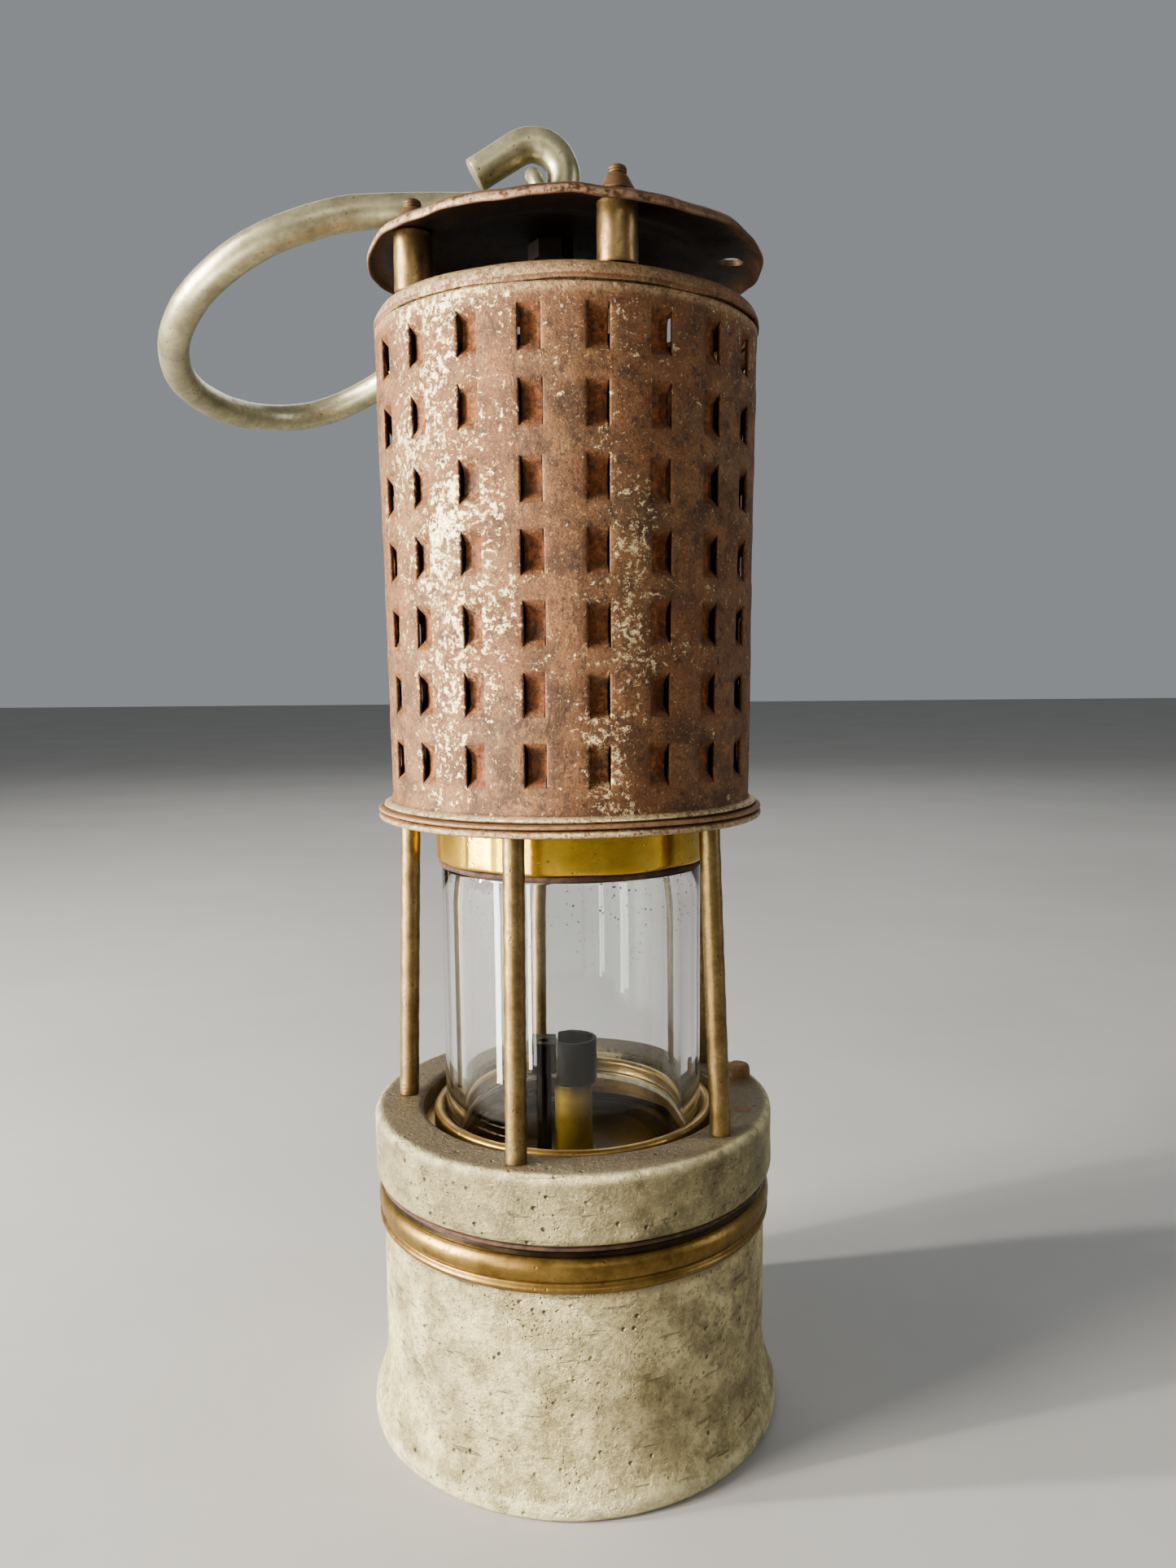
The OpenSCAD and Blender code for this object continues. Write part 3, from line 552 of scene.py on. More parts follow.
bead = soften([(39.65, 43.4), (41.3, 43.4, 0.3), (41.95, 44.1, 0.5), (41.9, 44.7, 0.3), (41.3, 45.25, 0.3), (41.35, 45.6, 0.3), (41.8, 46.2, 0.6), (42.1, 47.4, 0.9),
               (42.0, 48.8, 0.9), (41.4, 49.8, 0.6), (40.6, 50.3, 0.3), (39.65, 50.3)], 3)
lathe("bead_ring", "brass_band", bead, "bead", SEG, lambda R, Z, T: (R + 0.03 * np.sin(9 * T + Z) * (R > 41), Z + 0.05 * np.sin(3 * T + 1)), step=0.8)

washer = soften([(40.25, 51.8), (41.5, 51.85, 0.3), (41.75, 52.3, 0.3), (41.5, 52.7, 0.3), (40.25, 52.7)], 2)
lathe("washer_ring", "sealing_washer", washer, "fibre", SEG, lambda R, Z, T: (R + w2(T) * 0.5 * (R > 41), Z))

collar = soften([(36, 52.85), (41.4, 52.85, 0.4), (42.2, 53.3, 0.5), (42.5, 54.4, 0.8), (42.45, 60), (42.5, 65.0, 1.2), (42.1, 66.2, 0.8), (41.0, 66.6, 0.8),
                 (33.2, 66.6, 0.7), (32.3, 65.8, 0.4), (32.3, 62.1), (36, 62.1)])


def collar_dirt(r, z, t):
    d = 0.85 * smooth(41.8, 40.2, r) * (z > 66)
    for a in (-92, -17, 51, 123, 195):
        x, y = 36.9 * math.sin(rad(a)), -36.9 * math.cos(rad(a))
        dd = np.hypot(r * np.sin(t) - x, -r * np.cos(t) - y)
        d = np.maximum(d, 0.9 * (z > 66) * smooth(4.6, 2.2, dd))
    return d


lathe("collar_body", "collar", collar, "cast_top", SEG, lambda R, Z, T: (R + (R > 41) * (0.05 * np.sin(8 * T + Z * 0.4) + 0.03 * np.sin(19 * T - Z)), Z + (Z > 66.3) * 0.06 * np.sin(5 * T + R * 0.2)),
      step=1.2, wear_and_highlight=lambda r, z, t: smooth(64.6, 66.2, z) * smooth(40.6, 41.9, r) * 0.8, dirt_and_shade=collar_dirt)

seat = soften([(23.6, 60), (35.7, 60), (35.7, 61.9), (30.0, 61.9), (30.0, 65.4, 0.5), (29.4, 65.9, 0.5), (28.4, 65.9, 0.5), (27.8, 65.2, 0.3), (27.8, 61.9), (23.6, 61.9)])
lathe("seat_ring", "glass_seat", seat, "seat", SEG, step=2)
glass = soften([(23.4, 63.1, 0.5), (27.4, 63.1, 0.5), (27.4, 117.9, 0.5), (23.4, 117.9, 0.5)], 4)
lathe("glass_tube", "glass_cylinder", glass, "glass", SEG, step=6, sharp=50)

BACK = lambda a, r: (r * math.sin(rad(a)), -r * math.cos(rad(a)))
ANG = (-92, -17, 51, 123, 195)
FOOT = (35.8, 37.0, 37.4, 36.8, 36.6)
HEAD = (34.1, 36.1, 34.6, 34.6, 34.6)


def join(objs, name, node, slot_node=None, reps=()):
    """Joins meshes into one piece"""
    verts, faces, at = [], [], {"wear_and_highlight": [], "dirt_and_shade": [], "pocket": []}
    mat = objs[0].data.materials[0]
    for o in objs:
        b = len(verts)
        verts += [tuple(v.co) for v in o.data.vertices]
        faces += [[b + i for i in p.vertices] for p in o.data.polygons]
        for k in at:
            at[k] += [d.value for d in o.data.attributes[k].data]
        for s in (o,):
            me = s.data
            bpy.data.objects.remove(s)
            bpy.data.meshes.remove(me)
    me = bpy.data.meshes.new(name)
    me.from_pydata(verts, [], faces)
    for k, vals in at.items():
        a = me.attributes.new(k, "FLOAT", "POINT")
        a.data.foreach_set("value", np.asarray(vals, dtype=np.float32))
    me.materials.append(mat)
    me.shade_smooth()
    me.set_sharp_from_angle(angle=rad(38))
    ob = bpy.data.objects.new(name, me)
    bpy.context.scene.collection.objects.link(ob)
    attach(ob, BODY[node])
    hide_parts(node)
    return ob


def bare(name, prof, mat, n=32, move=None, at=(0, 0), step=None, sharp=38, wear_and_highlight=None):
    """A turned mesh with no ride or replacement yet"""
    if step:
        prof = split(prof, step)
    prof = np.array(prof, float)
    m = len(prof)
    t = np.arange(n) * 2 * math.pi / n
    verts, faces, wr = [], [], []
    idx = []
    for i in range(m):
        r, z = prof[i]
        if r < 1e-6:
            idx.append([len(verts)] * n)
            verts.append((at[0] * MM, at[1] * MM, z * MM)); wr.append(0)
        else:
            row = []
            for j in range(n):
                rr, zz = (r, z) if not move else move(r, z, t[j])
                row.append(len(verts))
                verts.append(((at[0] + rr * math.sin(t[j])) * MM, (at[1] - rr * math.cos(t[j])) * MM, zz * MM))
                wr.append(wear_and_highlight(r, z) if wear_and_highlight else 0.0)
            idx.append(row)
    for i in range(m):
        i2 = (i + 1) % m
        if prof[i, 0] < 1e-6 and prof[i2, 0] < 1e-6:
            continue
        for j in range(n):
            j2 = (j + 1) % n
            u = []
            for v in (idx[i][j], idx[i][j2], idx[i2][j2], idx[i2][j]):
                if v not in u:
                    u.append(v)
            faces.append(u)
    me = bpy.data.meshes.new(name)
    me.from_pydata(verts, [], faces)
    for k in ("wear_and_highlight", "dirt_and_shade", "pocket"):
        a = me.attributes.new(k, "FLOAT", "POINT")
        a.data.foreach_set("value", np.asarray(wr if k == "wear_and_highlight" else [0.0] * len(verts), dtype=np.float32))
    me.materials.append(M[mat])
    ob = bpy.data.objects.new(name, me)
    bpy.context.scene.collection.objects.link(ob)
    return ob


ps = []
for i, a in enumerate(ANG):
    w = wave(40 + i, [0.02, 0.02, 0.015])
    pr = soften([(0, 63.1), (1.25, 63.1), (1.25, 66.55), (2.05, 66.64, 0.2), (2.05, 127.98), (1.25, 127.98), (1.25, 129.5), (0, 129.5)])
    o = bare("p%d" % i, pr, "pillar", 28, lambda r, z, t, i=i: (r + (0.035 * math.sin(z * 0.9 + 3 * t + i) + 0.02 * math.sin(z * 2.3 + t)) * (r > 1.9), z), (0, 0), 1.4)
    for v in o.data.vertices:
        # the rod leans from its foot on the collar to its head under the plate
        rr = FOOT[i] + (HEAD[i] - FOOT[i]) * (v.co.z / MM - 66.6) / 61.4
        bx, by = BACK(a, rr)
        v.co.x += bx * MM
        v.co.y += by * MM
    ps.append(o)
join(ps, "pillar_rods", "pillars")

plug = soften([(0, 64.2), (2.35, 64.2), (2.35, 68.9, 0.5), (1.9, 69.6, 0.4), (0, 69.55)])
join([bare("a", plug, "rust", 28, lambda r, z, t: (r * (1 + 0.03 * math.sin(3 * t + z)), z + 0.12 * math.sin(2 * t) * (z > 69)), BACK(103.6, 38.6), 0.8)], "plug_body", "lock_plug")
pin = soften([(0, 63.1), (2.1, 63.1), (2.1, 66.62, 0.3), (1.6, 66.78, 0.3), (0, 66.72)])
join([bare("a", pin, "rust", 28, lambda r, z, t: (r * (1 + 0.02 * math.sin(3 * t + z)), z), BACK(72.8, 36.9), 0.8)], "pin_body", "lock_pin")

# ------------------------------------------------------------------ burner and lock spring
def sooted(name, node, mat, seed, voxel=0.00022, lump=0.00009):
    """The CAD shape with its edges rounded by use and a thin uneven crust"""
    src = frame["nodes"][node]
    bpy.context.view_layer.update()
    me0 = src.data.copy()
    me0.transform(src.matrix_world)
    o = bpy.data.objects.new("tmp_" + name, me0)
    bpy.context.scene.collection.objects.link(o)
    rm = o.modifiers.new("r", "REMESH")
    rm.mode = "VOXEL"
    rm.voxel_size = voxel
    sm = o.modifiers.new("s", "SMOOTH")
    sm.factor = 0.5
    sm.iterations = 2
    dg = bpy.context.evaluated_depsgraph_get()
    res = bpy.data.meshes.new_from_object(o.evaluated_get(dg))
    verts = np.array([v.co for v in res.vertices], float)
    norm = np.array([v.normal for v in res.vertices], float)
    q = verts / MM
    r8 = np.random.RandomState(seed)
    d = np.zeros(len(q))
    for k in range(6):
        f = r8.normal(0, 1.6, 3)
        d += np.sin(q @ f + r8.rand() * 6.28)
    verts = verts + norm * (d / 6 * lump)[:, None]
    faces = [tuple(p.vertices) for p in res.polygons]
    bpy.data.objects.remove(o)
    bpy.data.meshes.remove(me0)
    bpy.data.meshes.remove(res)
    z = np.zeros(len(verts))
    return make(name, verts, faces, mat, node, 60, {"wear_and_highlight": z, "dirt_and_shade": z, "pocket": z})


sooted("flame_cup", "flame_guard", "soot", 3)
sooted("igniter_post", "igniter_case", "soot", 4)

tubep = soften([(4.1, 30), (4.1, 54.75), (5.2, 54.75, 0.2), (5.3, 55.6, 0.3), (4.3, 56.0, 0.3), (4.1, 56.6, 0.3), (4.1, 69.4, 0.5), (3.8, 70.8, 0.5), (3.3, 71.4, 0.2), (3.05, 71.4), (3.05, 30)])
lathe("wick_tube_body", "wick_tube", tubep, "tube", 72, step=0.8,
      dirt_and_shade=lambda r, z, t: np.clip(smooth(66.4, 70.2, z) + 0.35 * smooth(57.5, 55.8, z), 0, 1))

cx, cy = BACK(103.6, 38.6)
turns, wire, zb, zt = 6.5, 0.22, 58.6, 64.1
hx_ = []
for k in range(int(turns * 20) + 1):
    a = k / 20 * 2 * math.pi
    hx_.append((cx + (1.5 - wire) * math.cos(a), cy + (1.5 - wire) * math.sin(a), zb + wire + (zt - zb - 2 * wire) * k / (turns * 20)))
coil = tube("lock_coil", "lock_spring", hx_, wire, "steel", 10, chamfer=0.05, rough=0.0)
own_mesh(coil)

# ------------------------------------------------------------------ below the bonnet
ringp = soften([(25.8, 119.25), (28.15, 119.2, 0.3), (28.5, 119.7, 0.3), (28.5, 121.2), (28.42, 127.9), (20.6, 127.9), (20.6, 126.7), (25.8, 126.7)], 3)


def ring_move(R, Z, T):
    # a lap seam front left, and small dents along the lower edge
    a = np.degrees(np.arctan2(np.sin(T), np.cos(T)))
    lap = np.where((a > -46) & (a < -30), 0.22 * smooth(-46, -45.6, a) * (1 - smooth(-33, -30, a)), 0)
    edge = smooth(121, 119.3, Z)
    return R + (R > 28) * (lap + edge * 0.05 * np.sin(13 * T)), Z + edge * 0.10 * np.sin(9 * T + 1) * (R > 27)


lathe("ring_body", "gauze_ring", ringp, "ring", 360, ring_move, step=1.0)
lip = soften([(23.5, 118.0), (27.9, 118.0, 0.3), (28.2, 118.5, 0.3), (28.0, 119.15, 0.3), (23.5, 119.15)], 3)
lathe("lip_ring", "upper_gasket", lip, "fibre", SEG, lambda R, Z, T: (R + (R > 27) * w2(T) * 0.6, Z + (R > 27) * 0.08 * np.sin(11 * T)))

platep = soften([(22.5, 128.0), (39.1, 128.0, 0.4), (39.8, 128.35, 0.4), (39.95, 128.8, 0.4), (39.8, 129.25, 0.3), (39.2, 129.6, 0.2), (22.5, 129.6)], 3)
w3 = wave(31, [0.06, 0.05, 0.05, 0.04, 0.03])
lathe("plate_body", "middle_plate", platep, "plate", SEG, lambda R, Z, T: (R + (R > 38) * w3(T), Z + (R > 30) * 0.1 * np.sin(4 * T + 0.5)), step=1.5,
      wear_and_highlight=lambda r, z, t: (0.62 + 0.14 * np.sin(3 * t + 1) + 0.10 * np.sin(7 * t)) * smooth(38.9, 39.6, r) * smooth(129.5, 129.0, z))
bring = soften([(35.2, 129.75), (39.5, 129.72, 0.2), (40.0, 130.0, 0.3), (39.9, 130.4, 0.3), (39.3, 130.62, 0.3), (36.1, 130.62), (36.1, 135.5), (35.2, 135.5)], 3)
lathe("foot_ring", "bonnet_ring", bring, "rust", SEG, lambda R, Z, T: (R + (R > 38) * w3(T + 0.4), Z + (R > 36.5) * 0.1 * np.sin(4 * T + 0.5)), step=1.5,
      wear_and_highlight=lambda r, z, t: 0.3 * smooth(39.4, 39.9, r))


# ------------------------------------------------------------------ bonnet
def bonnet():
    cols, rows = 20, 7
    R0 = lambda z: 37.27 + (38.54 - 37.27) * (z - 131.6) / (225 - 131.6)
    us = [-9, -7.6, -6.2, -5.0, -4.2, -3.6, -3.1, -2.6, -1.6, -0.5, 0.5, 1.6, 2.6, 3.1, 3.6, 4.2, 5.0, 6.2, 7.6]
    iw = [i for i, u in enumerate(us) if abs(u) <= 3.1001]
    zr = [-4.1, -3.85, -3.55, -3.2, -2.8, -2.2, -1.2, 0, 1.2, 2.2, 2.8, 3.2, 3.55, 3.85, 4.1]
    zs, kind = [], []
    foot = [(130.7, 36.9), (130.66, 37.9), (130.8, 38.6), (131.1, 38.9), (131.45, 38.75), (131.75, 38.1), (132.0, 37.5), (132.4, R0(132.4) + 0.04)]
    for z, r in foot:
        zs.append((z, r)); kind.append(None)
    for z in (133.4, 134.8):
        zs.append((z, None)); kind.append(None)
    for j in range(rows):
        c = 140.8 + 12.8 * j
        zs.append((c - 5.3, None)); kind.append(None)
        zs.append((c - 4.6, None)); kind.append(None)
        for k in zr:
            zs.append((c + k, None)); kind.append((j, k))
        zs.append((c + 4.6, None)); kind.append(None)
        zs.append((c + 5.3, None)); kind.append(None)
    for z, r in ((224.1, None), (224.75, None), (225.0, 38.3), (225.15, 37.78), (226.0, 37.75), (227.6, 37.75)):
        zs.append((z, r)); kind.append(None)
    th = []
    for c in range(cols):
        for u in us:
            th.append((c, u))
    n, m = len(th), len(zs)
    T = np.array([rad(-9.6 + 18 * c + u) for c, u in th])
    r5 = np.random.RandomState(5)
    tilt = r5.normal(0, 0.22, (cols, rows))          # each punch sits a little off
    up = r5.normal(0, 0.16, (cols, rows))
    wid = 1 + r5.normal(0, 0.025, (cols, rows))
    dep = 1 + r5.normal(0, 0.10, (cols, rows))
    verts, pocket, wear_and_highlight, idx = [], [], [], {}

    def dent(t, z):
        return 0.10 * math.sin(3 * t + z * 0.021) + 0.07 * math.sin(5 * t - z * 0.06 + 2) + 0.05 * math.sin(11 * t + z * 0.11)

    def put(t, z, r, p, w):
        verts.append((r * math.sin(t) * MM, -r * math.cos(t) * MM, z * MM))
        pocket.append(p); wear_and_highlight.append(w)
        return len(verts) - 1

    for i in range(m):
        z, rr = zs[i]
        for j in range(n):
            c, u = th[j]
            k = kind[i]
            t = T[j]
            zz, press, p = z, 0.0, 0.0
            if k is not None:
                row, rel = k
                f = max(0.0, 1 - max(0.0, abs(u) - 3.1) / 1.9)
                e = max(0.0, 1 - max(0.0, abs(rel) - 3.0) / 1.6)
                press = 0.20 * f * f * e if abs(u) >= 3.09 else (0.25 * e if abs(rel) > 4.0 else 0)
                if abs(u) < 3.2:
                    t = T[j] + rad((wid[c, row] - 1) * u + tilt[c, row] * 0.5)
                    zz = z + up[c, row]
                p = 0.15 * f * e
            elif rr is None and abs(u) < 4.5:
                press = 0.03
            r = (rr if rr is not None else R0(z) + dent(t, z)) - press
            if rr is not None and z < 132:
                r += 0.05 * math.sin(9 * t + 1) + 0.04 * math.sin(23 * t)
            w = 0.95 if (rr is not None and z < 131.8) else (0.35 if z > 223.5 else 0.0)
            idx[i, j] = put(t, zz, r, p, w)
    faces = []
    inwin = {}
    for i in range(m):
        inwin[i] = kind[i]
    for i in range(m - 1):
        a, b = kind[i], kind[i + 1]
        cut = a is not None and b is not None and a[0] == b[0]
        for j in range(n):
            j2 = (j + 1) % n
            ua, ub = th[j][1], th[j2][1]
            if cut and abs(ua) <= 3.1001 and abs(ub) <= 3.1001 and ub > ua:
                continue
            faces.append([idx[i, j], idx[i, j2], idx[i + 1, j2], idx[i + 1, j]])
    # the strips, pushed in and joined to the sheet at their top and bottom ends
    rows_i = {}
    for i, k in enumerate(kind):
        if k is not None:
            rows_i.setdefault(k[0], []).append((i, k[1]))
    for c in range(cols):
        js = [c * len(us) + i for i in iw]
        for row in range(rows):
            li = rows_i[row]
            grid = []
            for (i, rel) in li:
                line = []
                for j in js:
                    u = th[j][1]
                    if abs(rel) > 4.0:
                        line.append(idx[i, j])
                    else:
                        s = max(0.0, min(1.0, (4.1 - abs(rel)) / 2.3))
                        d = 1.45 * dep[c, row] * (s * s * (3 - 2 * s))
                        z = zs[i][0] + up[c, row]
                        uu = u * (0.955 if abs(u) > 3 else 0.97)
                        t = rad(-9.6 + 18 * c + uu * wid[c, row] + tilt[c, row] * 0.5)
                        r = R0(z) + dent(t, z) - 0.2 - d - 0.10 * (1 - (u / 3.1) ** 2)
                        line.append(put(t, z, r, 0.25 + 0.75 * s, 0.0))
                grid.append(line)
            for a in range(len(grid) - 1):
                for b in range(len(js) - 1):
                    faces.append([grid[a][b], grid[a][b + 1], grid[a + 1][b + 1], grid[a + 1][b]])
    ob = make("bonnet_sheet", verts, faces, "bonnet", "bonnet_shell", 55, {"pocket": pocket, "wear_and_highlight": wear_and_highlight, "dirt_and_shade": [0.0] * len(verts)})
    so = ob.modifiers.new("sheet", "SOLIDIFY")
    so.thickness = 0.0007
    so.offset = -1
    return ob


bonnet()

# crown: a lid over the top of the bonnet, its skirt a little uneven
wc = wave(51, [0.10, 0.14, 0.10, 0.10, 0.07, 0.06, 0.05, 0.04])
crownp = soften([(27, 227.9, 0.2), (37.6, 227.9), (37.86, 227.6), (37.86, 225.3, 0.1), (38.55, 225.25, 0.2), (38.75, 226.2, 0.4), (38.6, 227.3, 0.7), (37.9, 228.3, 0.7), (36.8, 228.85, 0.7),
                 (35.2, 229.0, 0.3), (27, 229.0, 0.2)])


def crown_move(R, Z, T):
    k = smooth(33, 38, R)
    low = k * smooth(227, 225.4, Z)
    right = np.clip(np.cos(T - rad(68)), 0, 1) ** 3
    return R + k * (0.10 * np.sin(6 * T + 1) + 0.05 * np.sin(17 * T)) + low * right * 0.45, Z + k * wc(T) * 0.8 + low * (0.12 * np.sin(8 * T) + 0.1 * np.sin(15 * T + 2))


# the crown top gets darker towards its inner edge
crown_darker_inward = lambda r, z, t: smooth(34.5, 31.5, r) * 0.9
# crown rim wear is strongest at the left front, where the key light's highlight falls: real wear and painted
# highlight
cr_ = lathe("crown_body", "bonnet_crown", crownp, "crown", 300, crown_move, step=0.8,
      dirt_and_shade=crown_darker_inward, wear_and_highlight=lambda r, z, t: (0.40 * smooth(36.6, 37.8, r) * (z > 226.2) + 0.2 * smooth(225.9, 225.3, z)) * np.clip(0.15 + 0.8 * np.cos(t + rad(40)), 0.04, 1))

# cap: a dished disc that sags between its studs
CP = np.array([-180, -128, -92, -59, -38, -19, 1, 13, 34, 50, 67, 92, 125, 160, 180], float)
CV = np.array([0.0, 0.2, -0.4, 0.25, -0.1, -0.15, 0.3, -0.15, -0.6, -0.1, -0.7, -0.9, -0.2, 0.2, 0.0])


def cap_wave(T):
    a = np.degrees(np.arctan2(np.sin(T), np.cos(T)))
    x = np.interp(a, CP, np.arange(len(CP)))
    i = np.clip(np.floor(x).astype(int), 0, len(CP) - 2)
    f = x - i
    f = f * f * (3 - 2 * f)
    return CV[i] * (1 - f) + CV[i + 1] * f


capp = soften([(0, 244.1), (12, 244.1, 1), (16, 243.8, 1), (22, 242.4, 1), (28, 240.15, 1.5), (37.0, 240.15, 0.8), (38.4, 239.5, 0.5), (39.1, 238.55, 0.2), (39.45, 238.45, 0.15), (39.7, 238.8, 0.2), (39.6, 239.5, 0.3),
               (39.0, 240.35, 0.5), (38.0, 241.0, 0.6), (36.6, 241.35, 1), (28.3, 241.4, 1.5), (22.4, 243.6, 1), (16.2, 245.0, 1), (12, 245.3, 1), (0, 245.3)])


def cap_move(R, Z, T):
    k = smooth(33.5, 39.5, R)
    k2 = smooth(34.5, 39.5, R)
    d = k * cap_wave(T) * 0.9 + k2 * (0.10 * np.sin(13 * T + 2) + 0.06 * np.sin(29 * T))
    return R + k2 * (0.08 * np.sin(11 * T) + 0.05 * np.sin(23 * T + 1)), Z + d


# painted shade: the cap's underside gets darker further in, where the cap shades it
def cap_under(r, z, t):
    h = np.interp(r, [0, 12, 16, 22, 28, 37, 38.4, 39.1], [244.1, 244.1, 243.8, 242.4, 240.15, 240.15, 239.5, 238.6])
    return np.where(z < h + 0.35, 1.0, 0.0) * smooth(39.4, 34.0, r)


# cap rim wear peaks at the left front under the key light's highlight: real wear and painted highlight
capo = lathe("cap_body", "cap", capp, "cap", 360, cap_move, step=1.0, dirt_and_shade=cap_under,
             wear_and_highlight=lambda r, z, t: 1.1 * smooth(38.9, 39.5, r) * smooth(238.5, 238.9, z) * np.clip(0.10 + 0.9 * np.cos(t + rad(40)), 0, 1))
# the empty hole at the right, where a spacer is missing
hx, hy = BACK(88, 33.5)
cut = bare("hole_tool", [(0, 236.0), (2.4, 236.0), (2.4, 244.0), (0, 244.0)], "cap", 32, None, (hx, hy))
bm_ = capo.modifiers.new("hole", "BOOLEAN")
bm_.operation = "DIFFERENCE"
bm_.solver = "EXACT"
bm_.object = cut
dg = bpy.context.evaluated_depsgraph_get()
cm = bpy.data.meshes.new_from_object(capo.evaluated_get(dg))
capo.modifiers.clear()
capo.data = cm
cd = cut.data
bpy.data.objects.remove(cut)
bpy.data.meshes.remove(cd)

sp, st, nt = [], [], []
SA = (-128, -59, 16, 160)
for i, a in enumerate(SA):
    c = BACK(a, 33.4)
    pr = soften([(1.6, 229.05), (3.55, 229.05, 0.2), (3.75, 229.6, 0.3), (3.72, 239.2, 0.3), (3.8, 239.8, 0.2), (3.6, 240.1, 0.15), (1.6, 240.1)])
    sp.append(bare("s%d" % i, pr, "spacer", 36, lambda r, z, t, i=i: (r + (r > 3) * (0.05 * math.sin(2 * t + i) + 0.03 * math.sin(5 * t + z)), z), c, 0.9))
    pr = soften([(0, 225.6), (2.9, 225.6, 0.2), (2.9, 227.8), (1.5, 227.8), (1.5, 244.6, 0.1), (1.7, 244.8, 0.1), (1.7, 245.05, 0.1), (1.55, 245.15, 0.1), (1.72, 245.3, 0.1), (1.65, 245.8, 0.4), (1.0, 246.25, 0.4), (0, 246.3)])
    st.append(bare("t%d" % i, pr, "nut", 28, None, c, 0.9))
    pr = soften([(1.55, 241.4), (3.35, 241.4, 0.15), (3.45, 241.8, 0.2), (3.2, 242.2, 0.5), (2.5, 243.5, 0.5), (2.0, 244.3, 0.2), (1.55, 244.35)])
    nt.append(bare("n%d" % i, pr, "nut", 36, lambda r, z, t, i=i: (r * (1 + 0.03 * math.sin(2 * t + i) + 0.015 * math.sin(5 * t)), z + 0.1 * math.sin(t + i) * (z > 243)), c, 0.7))
join(sp, "spacer_tubes", "cap_spacers")
join(st, "stud_rods", "cap_studs")
join(nt, "cone_nuts", "cap_nuts")

# ------------------------------------------------------------------ swivel and hook
BAR = np.array([-6.5, 0, 257.0])
lean = rad(17.65)
R5 = 5.6
eye = [(0, -R5, 0.2), (0, -R5, 2.4), (0, -R5, 4.6)]
eye += [(0, -R5 * math.cos(a), 5.94 + R5 * math.sin(a)) for a in np.linspace(0, math.pi, 25)]
eye += [(0, R5, 4.6), (0, R5, 2.4), (0, R5, 0.2)]
eye = [(-3 + x * math.cos(lean) - z * math.sin(lean), y, 246 + x * math.sin(lean) + z * math.cos(lean)) for x, y, z in eye]
e1 = tube("eye_bail", "swivel_eye", eye, 1.5, "hook", 20, rep=True, chamfer=0.2)
disc = soften([(0, 240.2), (2.1, 240.2), (2.1, 245.4), (6.9, 245.4, 0.3), (7.1, 245.9, 0.3), (6.8, 246.4, 0.3), (0, 246.45)])
e2 = bare("eye_disc", disc, "hook", 40, None, (-3, 0), 1.5)
e2.data.shade_smooth(); e2.data.set_sharp_from_angle(angle=rad(38))
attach(e2, "swivel")

hp = [(-18.2, 0, 257.3), (-16.1, 0, 258.6), (-14, 0, 259.85), (-11.9, 0, 261.1)]
hp += [tuple(BAR + 6.3 * np.array([math.cos(a), 0, math.sin(a)])) for a in np.linspace(rad(121.2), rad(-90), 30)]
route = [(-34, 0, 250.65), (-43, 0, 250.2), (-52, -1.5, 247.6), (-61, -1.5, 244.2), (-69.5, 1, 240.2), (-78, 7, 235.6), (-85, 17, 231), (-88.8, 29, 227.6),
         (-89.4, 39.5, 225.6), (-87.6, 50, 224.4), (-84.6, 59, 224), (-79.6, 68.5, 224.6), (-73.5, 75, 225.8), (-66, 79, 228), (-58, 79, 231), (-50, 76, 234.4), (-43.5, 71.5, 237.2)]
hp += [(-10, 0, 250.7), (-14, 0, 250.7), (-19, 0, 250.7), (-24, 0, 250.7), (-29, 0, 250.7)]
hp += spline(route, 4)
tube("hook_rod", "hook", hp, 3.35, "hook", 32, chamfer=0.45, rough=0.06)

# ------------------------------------------------------------------ the pieces kept from the CAD: this loop leaves them as they are
for name, ob in frame["nodes"].items():
    if ob.type == "MESH" and not ob.hide_render:
        pass

# ------------------------------------------------------------------ stage
me = bpy.data.meshes.new("floor")
me.from_pydata([(-4, -3, 0), (4, -3, 0), (4, 5, 0), (-4, 5, 0)], [], [[0, 1, 2, 3]])
floor = bpy.data.objects.new("floor", me)
bpy.context.scene.collection.objects.link(floor)
fm = m_plain("m_floor", (160, 158, 154), (166, 164, 160), 0.75, 0.0, 6)
me.materials.append(fm)

world = bpy.data.worlds.new("studio")
bpy.context.scene.world = world
world.use_nodes = True
bg = world.node_tree.nodes["Background"]
bg.inputs[0].default_value = (0.62, 0.65, 0.68, 1)
bg.inputs[1].default_value = 0.39


def area(name, loc, target, size, power, color=(1, 1, 1)):
    d = bpy.data.lights.new(name, "AREA")
    d.shape = "RECTANGLE"
    d.size, d.size_y = size
    d.energy = power
    d.color = color
    o = bpy.data.objects.new(name, d)
    o.location = loc
    o.rotation_euler = (Vector(target) - Vector(loc)).to_track_quat("-Z", "Y").to_euler()
    bpy.context.scene.collection.objects.link(o)
    return o


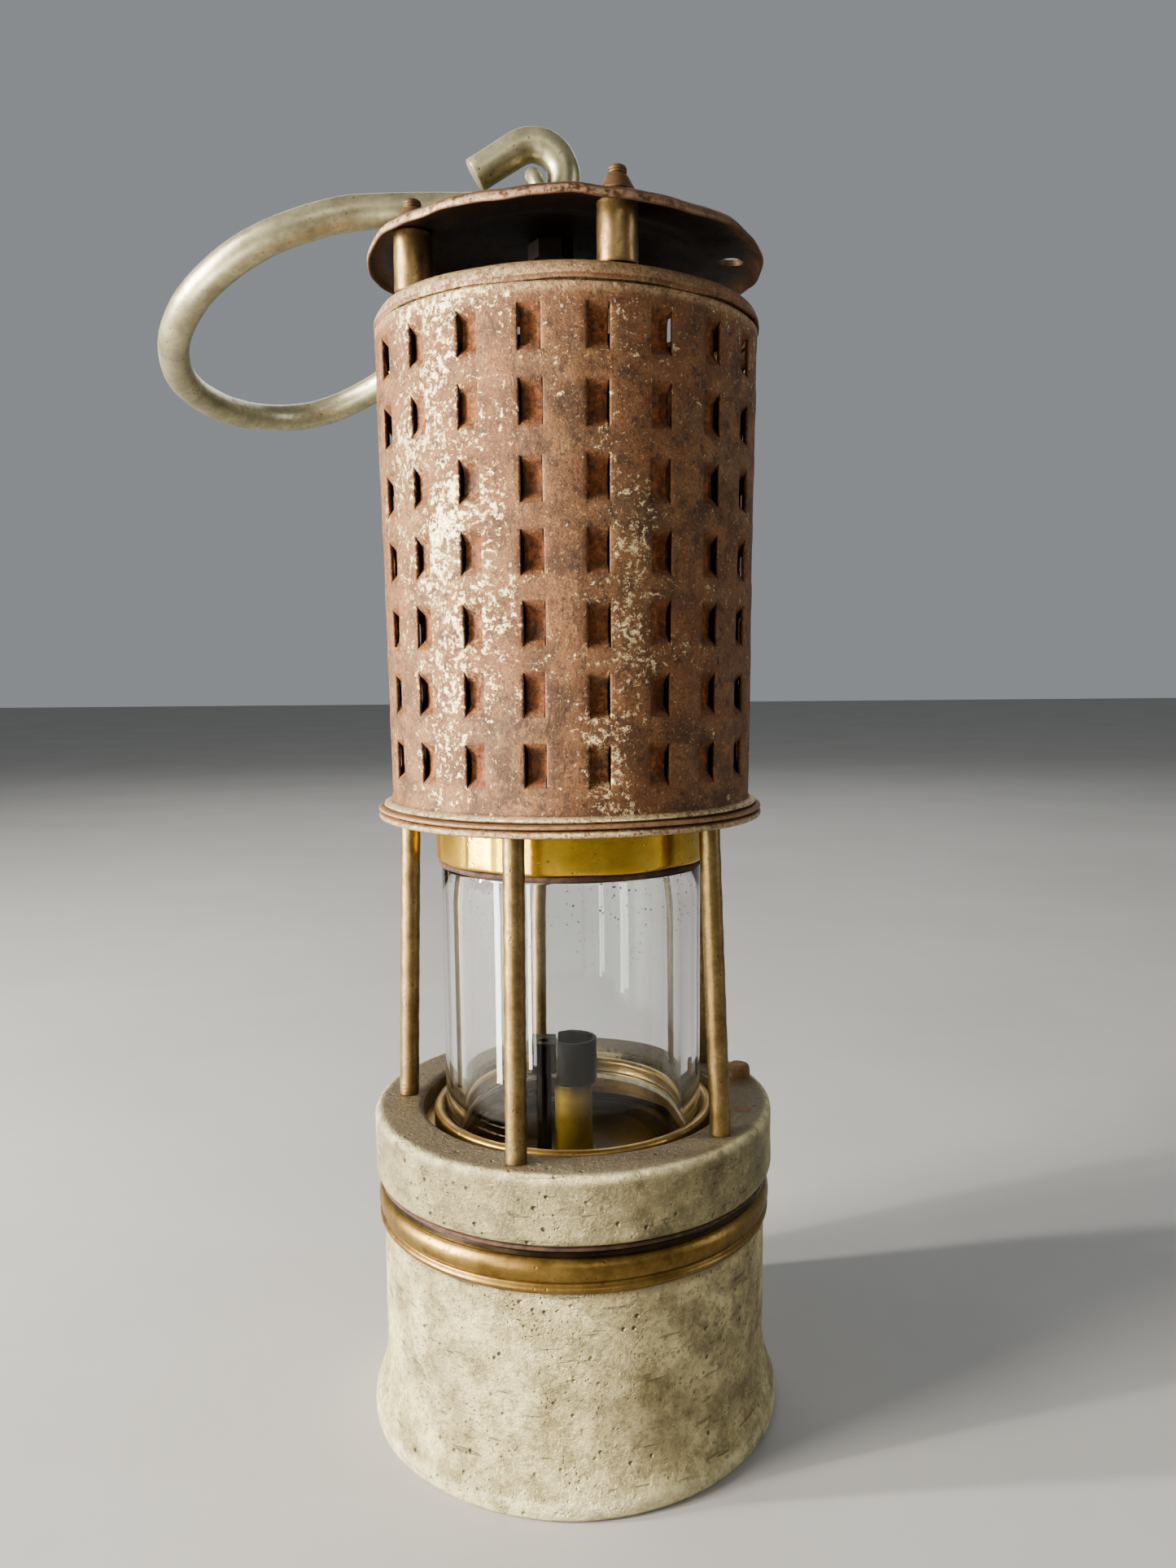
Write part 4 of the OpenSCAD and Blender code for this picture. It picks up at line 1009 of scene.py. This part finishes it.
area("key", (-0.95, -0.42, 0.50), (0, 0, 0.13), (0.30, 0.9), 22, (1.0, 0.95, 0.87))
area("slit_a", (-0.90, -0.10, 0.28), (0, 0, 0.11), (0.030, 0.50), 15.0, (1.0, 0.98, 0.95))
area("slit_b", (-0.88, -0.30, 0.28), (0, 0, 0.11), (0.022, 0.45), 9.0, (1.0, 0.98, 0.95))
area("front", (0.20, -1.3, 0.75), (0, 0, 0.12), (0.7, 0.5), 2.6, (1.0, 0.96, 0.90))
area("right", (1.0, -0.20, 0.40), (0, 0, 0.12), (0.06, 0.6), 2.0, (0.92, 0.95, 1.0))
area("card_a", (-0.20, -0.10, 0.075), (0, 0, 0.085), (0.020, 0.14), 0.36, (1.0, 0.98, 0.95))
area("card_b", (-0.14, -0.20, 0.075), (0, 0, 0.085), (0.012, 0.14), 0.18, (1.0, 0.98, 0.95))
area("back", (0.0, 1.1, 0.9), (0, 0, 0.12), (1.2, 0.6), 5, (0.95, 0.97, 1.0))

# the two cards stand close by, only for their streaks in the glass, so they light the lamp and not the floor
lamp_only = bpy.data.collections.new("lamp_only")
for ob in bpy.context.scene.objects:
    if ob.type == "MESH" and ob is not floor:
        lamp_only.objects.link(ob)
for k in ("card_a", "card_b"):
    bpy.data.objects[k].light_linking.receiver_collection = lamp_only

cam = bpy.data.cameras.new("camera")
cam.sensor_fit = "AUTO"
cam.sensor_width = 36
cam.lens = 26.74
cam.clip_start = 0.01
co = bpy.data.objects.new("camera", cam)
yaw, pitch, roll = rad(-0.869), rad(5.719), rad(-0.459)
right = Vector((math.cos(yaw), math.sin(yaw), 0))
fwd = Vector((-math.sin(yaw) * math.cos(pitch), math.cos(yaw) * math.cos(pitch), -math.sin(pitch)))
upv = Vector((-math.sin(yaw) * math.sin(pitch), math.cos(yaw) * math.sin(pitch), math.cos(pitch)))
r2 = right * math.cos(roll) + upv * math.sin(roll)
u2 = upv * math.cos(roll) - right * math.sin(roll)
mw = Matrix(((r2.x, u2.x, -fwd.x, 0), (r2.y, u2.y, -fwd.y, -0.24585), (r2.z, u2.z, -fwd.z, 0.15874), (0, 0, 0, 1)))
co.matrix_world = mw
bpy.context.scene.collection.objects.link(co)
bpy.context.scene.camera = co
bpy.context.scene.view_settings.view_transform = "AgX"
bpy.context.scene.view_settings.look = "AgX - Medium High Contrast"
